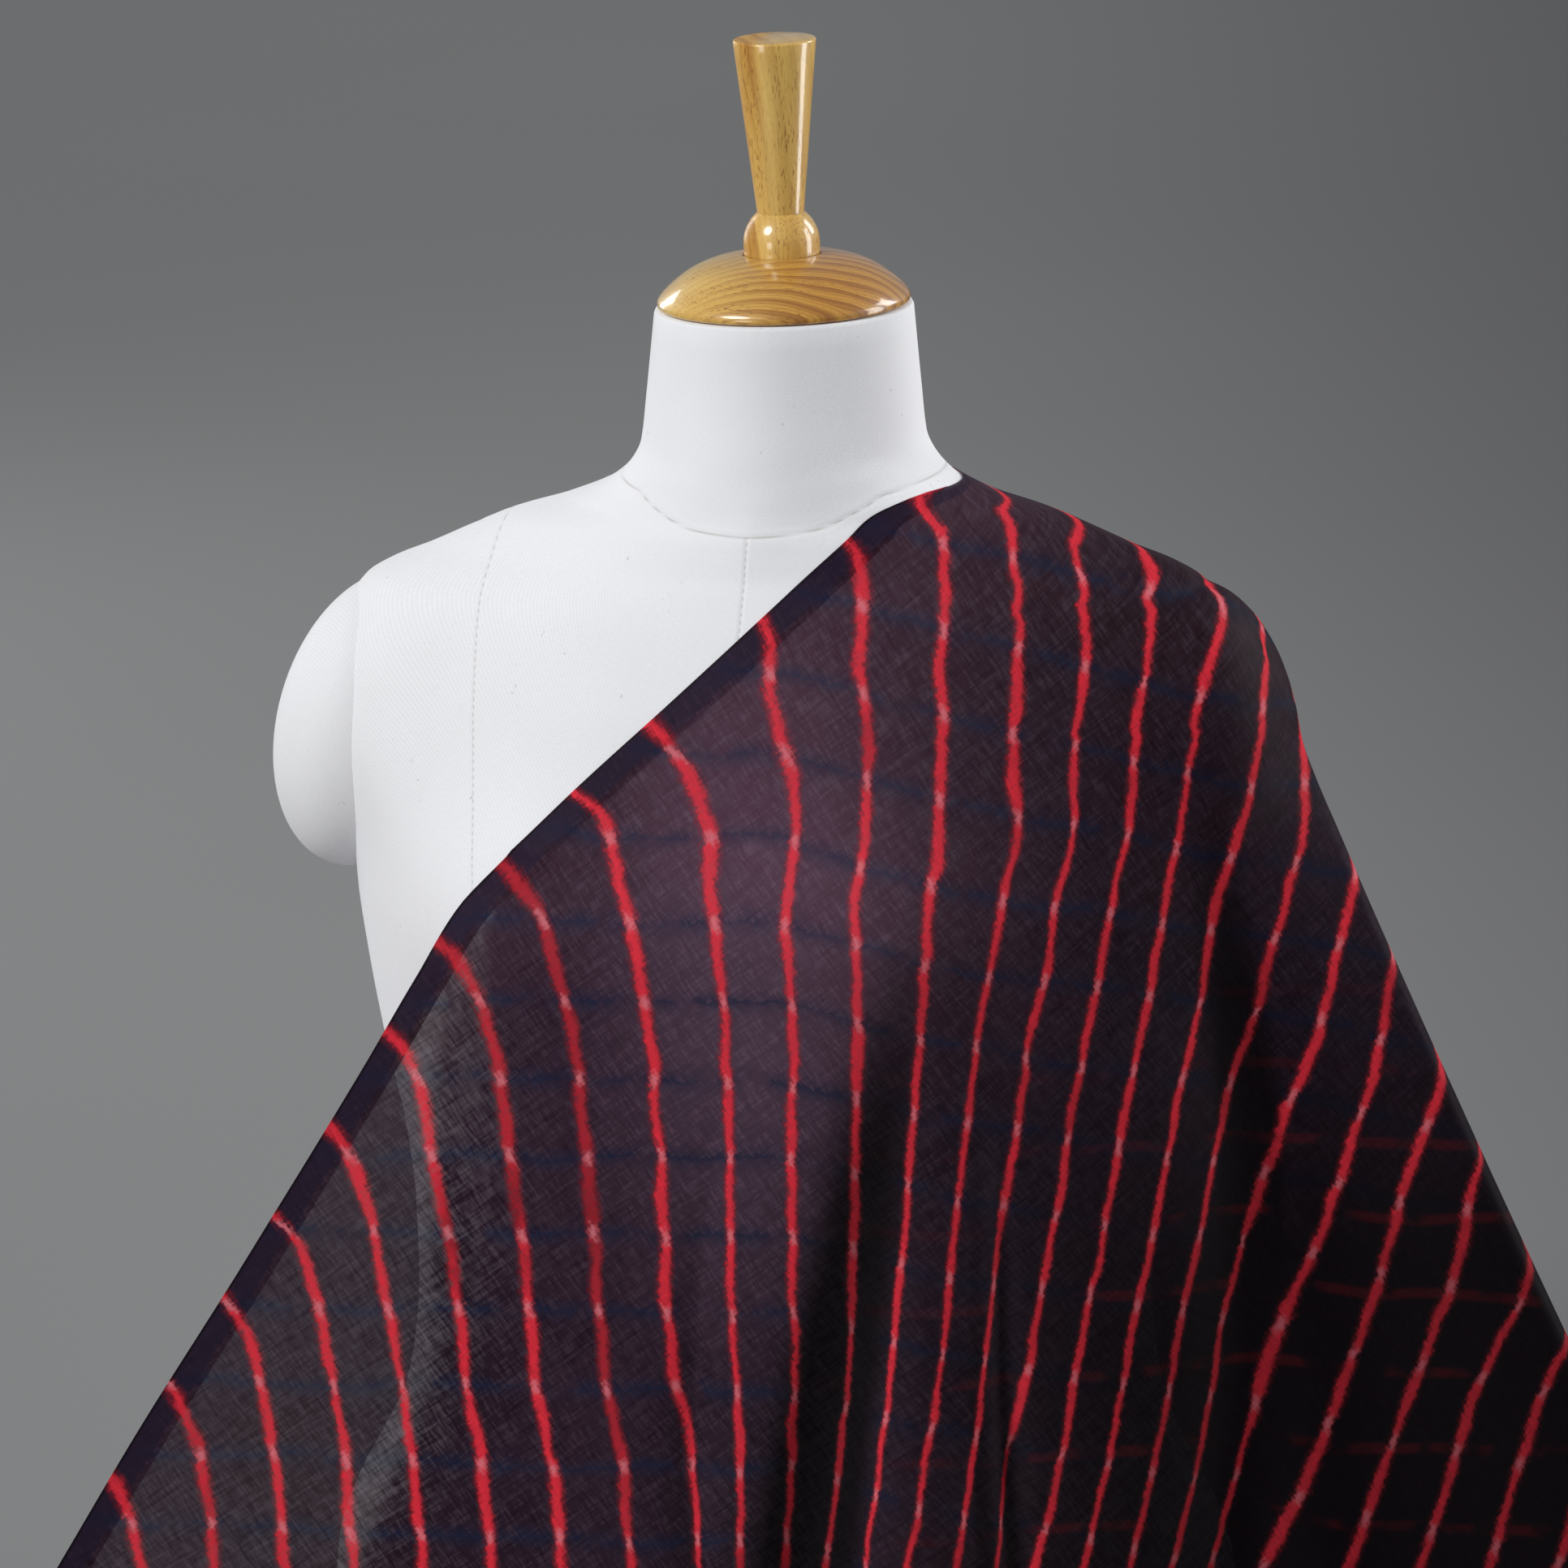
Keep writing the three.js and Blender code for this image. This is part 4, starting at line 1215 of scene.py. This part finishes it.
@dataclass(frozen=True)
class Fold:
    """A fold that deepens down the cloth. Its place is a share of the width, given at three heights."""

    hem: float
    middle: float
    shoulder: float
    start: float
    depth: float
    half: float
    heights: Triple = (0.0, 0.300, 0.574)
    growth: float = 0.8

    def share(self, z: float) -> float:
        """Where the fold lies at a height."""
        return float(np.interp(z, self.heights, (self.hem, self.middle, self.shoulder)))

    def inwards(self, z: float, away: np.ndarray) -> np.ndarray:
        """How far the fold draws the cloth in, at distances from its middle."""
        growth = min(1.0, max(0.0, (self.start - z) / self.start)) ** self.growth
        return growth * self.depth * np.exp(-((away / self.half) ** 2))


@dataclass
class Side:
    """One side of the drape: its folds, the columns between them, its flare, and bands of painted fold shade.
    """

    folds: tuple[Fold, ...]
    columns: tuple[int, ...]
    flare: float
    flare_height: float
    # bands of painted fold shade with no shape of their own, over or beside the folds
    painted_fold_bands: tuple[Fold, ...] = ()
    full_depth: float = 0.014
    reach: float = 2 * MM
    spread: float = 1.1

    def lay(self, line: np.ndarray, z: float) -> Columns:
        """Columns of points along a taut section, moved out by the flare and in by the folds.

        Args:
            line: The section's points, from one edge of this side to the other.
            z: Its height.

        Returns:
            The points, their distances along the section, the distances of the edges and folds, and how much
            painted fold shade each point takes, 0 to 1, from how deep it lies in a fold or a painted band.
        """
        run = run_lengths(line)
        whole = run[-1]
        sign = 1.0 if line[-1, 0] > line[0, 0] else -1.0
        across = np.maximum.accumulate(sign * line[:, 0])
        knots = [0.0]
        for fold in self.folds:
            place = sign * blend(line[0, 0], line[-1, 0], fold.share(z))
            knots.append(max(knots[-1], float(np.interp(place, across, run))))
        knots.append(whole)
        spans = zip(knots, knots[1:], self.columns)
        places = np.concatenate([self.crowd(start, stop, count) for start, stop, count in spans] + [[whole]])
        ahead = points_along(line, run, np.minimum(whole, places + self.reach))
        outwards = outward(unit(ahead - points_along(line, run, np.maximum(0, places - self.reach))))
        first, last = max(knots[1], 1e-6), max(whole - knots[-2], 1e-6)
        shelter = ease(self.spread * places / first) * ease(self.spread * (whole - places) / last)
        out = self.flare * ease((self.flare_height - z) / self.flare_height) * shelter
        inside = np.zeros(len(places))
        for fold, knot in zip(self.folds, knots[1:]):
            inwards = fold.inwards(z, places - knot) * np.minimum(1, 2 * shelter)
            out = out - inwards
            inside = np.maximum(inside, ease(inwards / self.full_depth))
        # the bands of painted fold shade darken the cloth without moving it
        for fold in self.painted_fold_bands:
            place = sign * blend(line[0, 0], line[-1, 0], fold.share(z))
            away = places - float(np.interp(place, across, run))
            inside = np.maximum(inside, ease(fold.inwards(z, away) / self.full_depth))
        return points_along(line, run, places) + out[:, None] * outwards, places, np.array(knots), inside

    @staticmethod
    def crowd(start: float, stop: float, count: int) -> np.ndarray:
        """Places from start up to stop, which crowd a little towards both."""
        share = np.arange(count) / count
        return blend(start, stop, blend(share, 0.5 - 0.5 * np.cos(math.pi * share), 0.6))


@dataclass
class Drape:
    """The sheer cloth: gathered beside the neck, hung over the arm cap, open down the form's right side."""

    shape: FormShape
    dye: Leheriya = Leheriya()
    turn: float = FRONT_TURN
    rest_gap: float = 0.6 * MM
    chest_gap: float = 1.4 * MM
    gap_full_height: float = 0.470
    neck_point: float = 0.5742
    neck_stretch: float = 0.5732
    front_free: float = 0.430
    arm_free: float = 0.476
    fold_radius: float = 0.007
    fold_sides: int = 20
    fold_lean: float = 0.25
    neck_meeting: float = 1 * MM
    bearing: tuple[float, ...] = (0, 30, 60, 90)
    band: float = 13 * MM
    band_gap: float = 0.7 * MM
    band_most: float = 0.2
    band_bend: float = 0.7
    band_rise: float = 0.5
    band_columns: int = 6
    weave_lean: float = math.radians(35)
    cross_drop: tuple[float, float] = (0.26, 0.12)
    back_rise: tuple[float, float] = (0.346, 0.94)
    levels: tuple[Triple, ...] = ((0.008, 0.430, 0.004), (0.430, 0.520, 0.003), (0.520, 0.5742, 0.001))
    front_selvedge: Rows = (
        (0.0, -0.3795),
        (0.100, -0.324),
        (0.180, -0.280),
        (0.260, -0.231),
        (0.340, -0.182),
        (0.380, -0.1585),
        (0.410, -0.1395),
        (0.430, -0.1175),
        (0.460, -0.0855),
        (0.500, -0.041),
        (0.540, 0.0045),
        (0.5585, 0.0268),
        (0.567, 0.0377),
        (0.5717, 0.0525),
        (0.5732, 0.063),
    )
    back_selvedge: Rows = (
        (0.0, -0.095),
        (0.200, -0.038),
        (0.400, 0.012),
        (0.500, 0.038),
        (0.560, 0.054),
        (0.5732, 0.066),
    )
    front_depth: Rows = ((0.0, -0.092), (0.300, -0.104), (0.380, -0.103), (0.412, -0.096), (0.430, -0.084))
    side_fold: Rows = (
        (0.0, 0.4385, -0.060),
        (0.060, 0.4095, -0.059),
        (0.140, 0.369, -0.058),
        (0.220, 0.3295, -0.057),
        (0.300, 0.293, -0.056),
        (0.380, 0.2575, -0.055),
        (0.420, 0.2403, -0.055),
        (0.445, 0.2297, -0.055),
        (0.460, 0.2243, -0.055),
        (0.476, 0.2212, -0.055),
    )
    front: Side = field(
        default_factory=lambda: Side(
            folds=(
                Fold(0.432, 0.350, 0.250, 0.330, 0.009, 0.007),
                Fold(0.454, 0.488, 0.530, 0.390, 0.015, 0.021),
                Fold(0.590, 0.601, 0.612, 0.330, 0.013, 0.006),
                Fold(0.685, 0.820, 0.870, 0.460, 0.017, 0.028),
            ),
            # painted fold shade, deeper and wider than the folds under it, and one band where there is no
            # fold
            painted_fold_bands=(
                Fold(0.454, 0.488, 0.530, 0.430, 0.034, 0.021),
                Fold(0.570, 0.576, 0.585, 0.460, 0.016, 0.009),
                Fold(0.685, 0.820, 0.900, 0.500, 0.034, 0.022),
            ),
            columns=(26, 20, 26, 32, 34),
            flare=0.024,
            flare_height=0.360,
        )
    )
    back: Side = field(
        default_factory=lambda: Side(
            folds=(
                Fold(0.36, 0.36, 0.4, 0.330, 0.034, 0.022),
                Fold(0.54, 0.55, 0.55, 0.330, 0.040, 0.022),
                Fold(0.72, 0.72, 0.72, 0.330, 0.040, 0.022),
                Fold(0.88, 0.87, 0.86, 0.330, 0.036, 0.020),
            ),
            columns=(30, 20, 20, 20, 18),
            flare=0.040,
            flare_height=0.420,
        )
    )
    pitch: float = STRIPE_PITCH
    cross_pitch: float = 33.9 * MM
    hook: float = 25 * MM
    stripes: Rows = (
        # height, then the stripe's number at the front selvedge, each of the front's folds and the side fold
        (0.0, -2.81, 8.88, 11.55, 17.89, 22.92, 29.67),
        (0.1, -0.64, 8.83, 11.49, 16.88, 21.79, 27.44),
        (0.165, 0.67, 8.94, 11.57, 16.06, 21.01, 25.81),
        (0.21, 1.71, 9.24, 11.69, 15.55, 20.62, 24.35),
        (0.255, 2.86, 9.44, 12.01, 15.17, 20.0, 23.48),
        (0.3, 4.06, 9.63, 12.25, 14.82, 19.5, 22.34),
        (0.345, 5.19, 9.79, 12.44, 14.52, 18.63, 21.48),
        (0.4, 6.56, 10.13, 12.68, 14.02, 17.9, 20.06),
        (0.44, 7.93, 10.56, 12.95, 13.89, 17.32, 19.29),
        (0.48, 9.31, 11.31, 13.4, 14.27, 17.01, 18.75),
        (0.52, 10.22, 12.01, 13.69, 14.3, 16.26, 17.35),
        (0.56, 11.56, 12.21, 13.05, 13.32, 14.14, 14.49),
        (0.5742, 12.55, 12.55, 12.55, 12.56, 12.56, 12.56),
    )

    def __post_init__(self) -> None:
        """Draws the curves through the tables."""
        self.front_x = columns_of(self.front_selvedge)[0]
        self.back_x = columns_of(self.back_selvedge)[0]
        self.front_y = columns_of(self.front_depth)[0]
        self.fold_x, self.fold_y = columns_of(self.side_fold)
        self.stripe_at = columns_of(self.stripes)

    def heights(self) -> np.ndarray:
        """The heights of the cloth's rows, from the top down."""
        runs = [np.arange(a, b - 0.25 * step, step) for a, b, step in self.levels]
        return np.concatenate(runs)[::-1]

    def gap(self, z: float) -> float:
        """How far off the form the cloth lies at a height."""
        share = ease((z - self.gap_full_height) / (self.neck_point - self.gap_full_height))
        return float(blend(self.chest_gap, self.rest_gap, share))

    def to_plan(self, points: np.ndarray) -> np.ndarray:
        """Points of the form's frame in the drape's plan frame."""
        return rotated(points, -self.turn)

    def to_form(self, points: np.ndarray) -> np.ndarray:
        """Points of the drape's plan frame in the form's."""
        return rotated(points, self.turn)

    def held_by(self, z: float, out: float) -> np.ndarray:
        """What holds the cloth at a height, the form and the arm cap, pushed out by a distance all round."""
        points = []
        for angle in np.radians(self.bearing):
            level, sideways = z - out * math.sin(angle), out * math.cos(angle)
            points += [self.shape.outline(level, sideways), self.shape.arm_outline(level, sideways)]
        return self.to_plan(np.concatenate(points))

    def section(self, z: float, above: np.ndarray) -> tuple[np.ndarray, np.ndarray]:
        """The taut section at a height: the front from its selvedge to the side fold, then the back."""
        widest = above[:, 0].max()
        points = [above]
        if z < self.arm_free:
            angle = np.arange(self.fold_sides) / self.fold_sides * 2 * math.pi
            bend = np.stack([np.cos(angle), np.sin(angle)], axis=1) * self.fold_radius
            points.append(bend + [self.fold_x(z) - self.fold_radius, self.fold_y(z)])
        near_neck = float(np.clip((z - self.neck_stretch) / (self.neck_point - self.neck_stretch), 0, 1))
        front_x = blend(float(self.front_x(z)), widest - self.neck_meeting, near_neck)
        back_x = blend(float(self.back_x(z)), widest - self.neck_meeting, near_neck)
        if z < self.front_free:
            points.append(np.array([[front_x, float(self.front_y(z))]]))
        outline = taut(np.concatenate(points))
        outline = np.roll(outline, -int(np.argmin(outline[:, 0])), axis=0)
        depth = float(self.fold_y(z)) if z < self.arm_free else -self.fold_lean * widest
        right = self.right_index(outline, depth)
        split = np.array([[float(self.right_x(outline, depth)), depth]])
        front = np.concatenate([outline[:right], split])
        back = np.concatenate([split, outline[right:], outline[:1]])
        return self.cut(front, front_x), self.cut(back[::-1], back_x)[::-1]

    @staticmethod
    def right_index(outline: np.ndarray, depth: float) -> int:
        """The first point on the right of an outline, from its leftmost on, that lies beyond a depth."""
        low = int(np.argmin(outline[:, 1]))
        return low + int(np.argmax(outline[low:, 1] > depth))

    def right_x(self, outline: np.ndarray, depth: float) -> float:
        """How far right an outline reaches at a depth."""
        after = self.right_index(outline, depth)
        (ax, ay), (bx, by) = outline[after - 1], outline[after]
        return blend(ax, bx, (depth - ay) / (by - ay))

    @staticmethod
    def cut(line: np.ndarray, x: float) -> np.ndarray:
        """The part of a line that lies beyond x, starting on x."""
        beyond = int(np.argmax(line[:, 0] > x + 1e-6))
        edge = [[x, float(np.interp(x, line[: beyond + 1, 0], line[: beyond + 1, 1]))]]
        return np.concatenate([edge, line[beyond:]])

    def hooked(self, number: np.ndarray, away: np.ndarray) -> np.ndarray:
        """Stripe numbers whose lines turn towards the selvedge as they near it, at a distance from it."""
        return number + (np.sqrt(away**2 + self.hook**2) - away) / math.sqrt(2) / self.pitch

    def cross_number(self, x: np.ndarray, z: float) -> np.ndarray:
        """Cross-line numbers on the front, at places across the drape and a height."""
        slope, curve = self.cross_drop
        drop = np.where(x > 0, slope * x + curve * x**2, 0.0)
        return (self.neck_point - z - drop) / self.cross_pitch

    def row(self, z: float, above: np.ndarray) -> Columns:
        """One level of the cloth, from the front band round to the back one.

        Args:
            z: Its height.
            above: The outline of all that holds the cloth from here up, in plan.

        Returns:
            The points in plan, their stripe and cross-line numbers, their distances from the front selvedge,
            and how much painted fold shade they take.
        """
        front, back = self.section(z, above)
        front_points, front_run, knots, front_inside = self.front.lay(front, z)
        back_points, back_run, _, back_inside = (part[1:] for part in self.back.lay(back, z))
        numbers = np.interp(front_run, knots, [float(curve(z)) for curve in self.stripe_at])
        steep = self.steepness(self.front_x, z)
        stripe = self.hooked(numbers, front_run / steep)
        cross = self.cross_number(front_points[:, 0], z)
        stripe = np.concatenate([stripe, stripe[-1] + self.back_rise[0] * back_run / self.pitch])
        cross = np.concatenate([cross, cross[-1] - self.back_rise[1] * back_run / self.cross_pitch])
        points = np.concatenate([front_points, back_points])
        run = np.concatenate([front_run, front_run[-1] + back_run])
        widest = run[-1] * self.band_most
        band, inner = self.turned_in(points, min(self.band * steep, widest), -1.0)
        back_steep = self.steepness(self.back_x, z)
        back_sides = self.turned_in(points[::-1], min(self.band * back_steep, widest), 1.0)
        back_band, back_inner = (part[::-1] for part in back_sides)
        band_stripe = self.hooked(np.interp(inner, front_run, numbers), 0 * inner)
        band_stripe = band_stripe - inner * self.band_rise / self.pitch
        behind = run[-1] - back_inner
        stripe = np.concatenate([band_stripe, stripe, np.interp(behind, run, stripe)])
        cross = np.concatenate([np.interp(inner, run, cross), cross, np.interp(behind, run, cross)])
        return (
            np.concatenate([band, points, back_band]),
            np.stack([stripe, cross], axis=1),
            np.concatenate([-inner, run, run[-1] + back_inner]),
            np.concatenate([0 * inner, front_inside, back_inside, 0 * back_inner]),
        )

    def turned_in(self, line: np.ndarray, wide: float, side: float) -> tuple[np.ndarray, np.ndarray]:
        """The band turned in behind a selvedge.

        Args:
            line: The row's points, from that selvedge on.
            wide: The band's width along them.
            side: -1 for the front selvedge and 1 for the back one.

        Returns:
            The band's points, from its inner edge towards the selvedge, and their distances from it.
        """
        share = np.linspace(1, 0, self.band_columns + 1)[:-1]
        run, inner = run_lengths(line), share * wide
        at = points_along(line, run, inner)
        way = unit(points_along(line, run, inner + MM) - at)
        depth = self.band_gap * np.sqrt(share * self.band_bend + (1 - self.band_bend))
        return at + side * outward(way) * depth[:, None], inner

    @staticmethod
    def steepness(selvedge: Curve, z: float) -> float:
        """The length of a selvedge for each metre of height, at a height."""
        lean = (float(selvedge(z + MM)) - float(selvedge(z - MM))) / (2 * MM)
        return math.sqrt(1 + lean * lean)

    def off_form(self, points: np.ndarray, z: float) -> np.ndarray:
        """How far points of the plan lie off the torso at a height."""
        if z > self.shape.neck_top:
            return np.zeros(len(points))
        standing = self.to_form(points)
        angle = np.arctan2(standing[:, 1], standing[:, 0])
        reach = np.interp(angle, *reach_round(self.shape.outline(z)), period=2 * math.pi)
        return np.maximum(0, np.linalg.norm(standing, axis=1) - reach)

    def weave_of(self, run: np.ndarray, z: float) -> np.ndarray:
        """Places along the two threads, from the distance from the selvedge along a row and its height."""
        across = run + float(self.front_x(z))
        c, s = math.cos(self.weave_lean), math.sin(self.weave_lean)
        return np.stack([across * c + z * s, z * c - across * s], axis=1)

    def build(self, rests_on: Sequence[str]) -> Piece:
        """Args:
            rests_on: The names of the pieces that it rests on. Not used.

        Returns:
            The cloth.
        """
        above = np.zeros((0, 2))
        rows, dye, weave, edge, fold_shade, free = [], [], [], [], [], []
        for z in self.heights():
            above = taut(np.concatenate([above, self.held_by(z, self.gap(z))]))
            points, numbers, run, inside = self.row(float(z), above)
            standing = self.to_form(points)
            rows.append(np.column_stack([standing, self.shape.standing(standing[:, 0], float(z))]))
            dye.append(numbers)
            weave.append(self.weave_of(run, float(z)))
            edge.append(np.abs(run) / self.steepness(self.front_x, float(z)))
            fold_shade.append(inside)
            free.append(self.off_form(points, float(z)))
        cloth = self.mesh_of(np.array(rows), np.array(dye), np.array(weave))
        # the second attribute holds the share of painted fold shade
        for name, values in (("from_selvedge", edge), ("fold_shade", fold_shade), ("off_form", free)):
            store(cloth, name, values)
        smooth(cloth, 80)
        settle(cloth, "cloth", self.dye.material("leheriya_cloth"))
        return cloth

    def mesh_of(self, grid: np.ndarray, dye: np.ndarray, weave: np.ndarray) -> Piece:
        """A mesh of quads from a grid of points, with its two UV maps.

        Args:
            grid: Rows of points, from the top down.
            dye: Stripe and cross-line numbers of each.
            weave: Places of each along the threads.

        Returns:
            The mesh's object.
        """
        rows, columns, _ = grid.shape
        index = np.arange(rows * columns).reshape(rows, columns)
        corners = [index[:-1, :-1], index[1:, :-1], index[1:, 1:], index[:-1, 1:]]
        quads = np.stack([c.ravel() for c in corners], axis=1)
        mesh = bpy.data.meshes.new("leheriya_drape")
        mesh.from_pydata(grid.reshape(-1, 3).tolist(), [], quads.tolist())
        for name, values in (("dye", dye), ("weave", weave)):
            layer = mesh.uv_layers.new(name=name)
            layer.data.foreach_set("uv", values.reshape(-1, 2)[quads.ravel()].astype(np.float32).ravel())
        cloth = bpy.data.objects.new("leheriya_drape", mesh)
        bpy.context.scene.collection.objects.link(cloth)
        return cloth


# ---- assembly ----


def main() -> None:
    """Builds the studio, the dress form and the drape, in that order."""
    logging.basicConfig(level=logging.INFO, format="%(name)s: %(message)s")
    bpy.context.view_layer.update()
    studio = Studio()
    studio.place_camera()
    studio.light()
    studio.lay_floor()
    shape = FormShape()
    form = DressForm(shape).build()
    NeckTop(shape).build()
    Drape(shape).build([form[0].name, form[1].name])


if __name__ == "__main__":
    main()
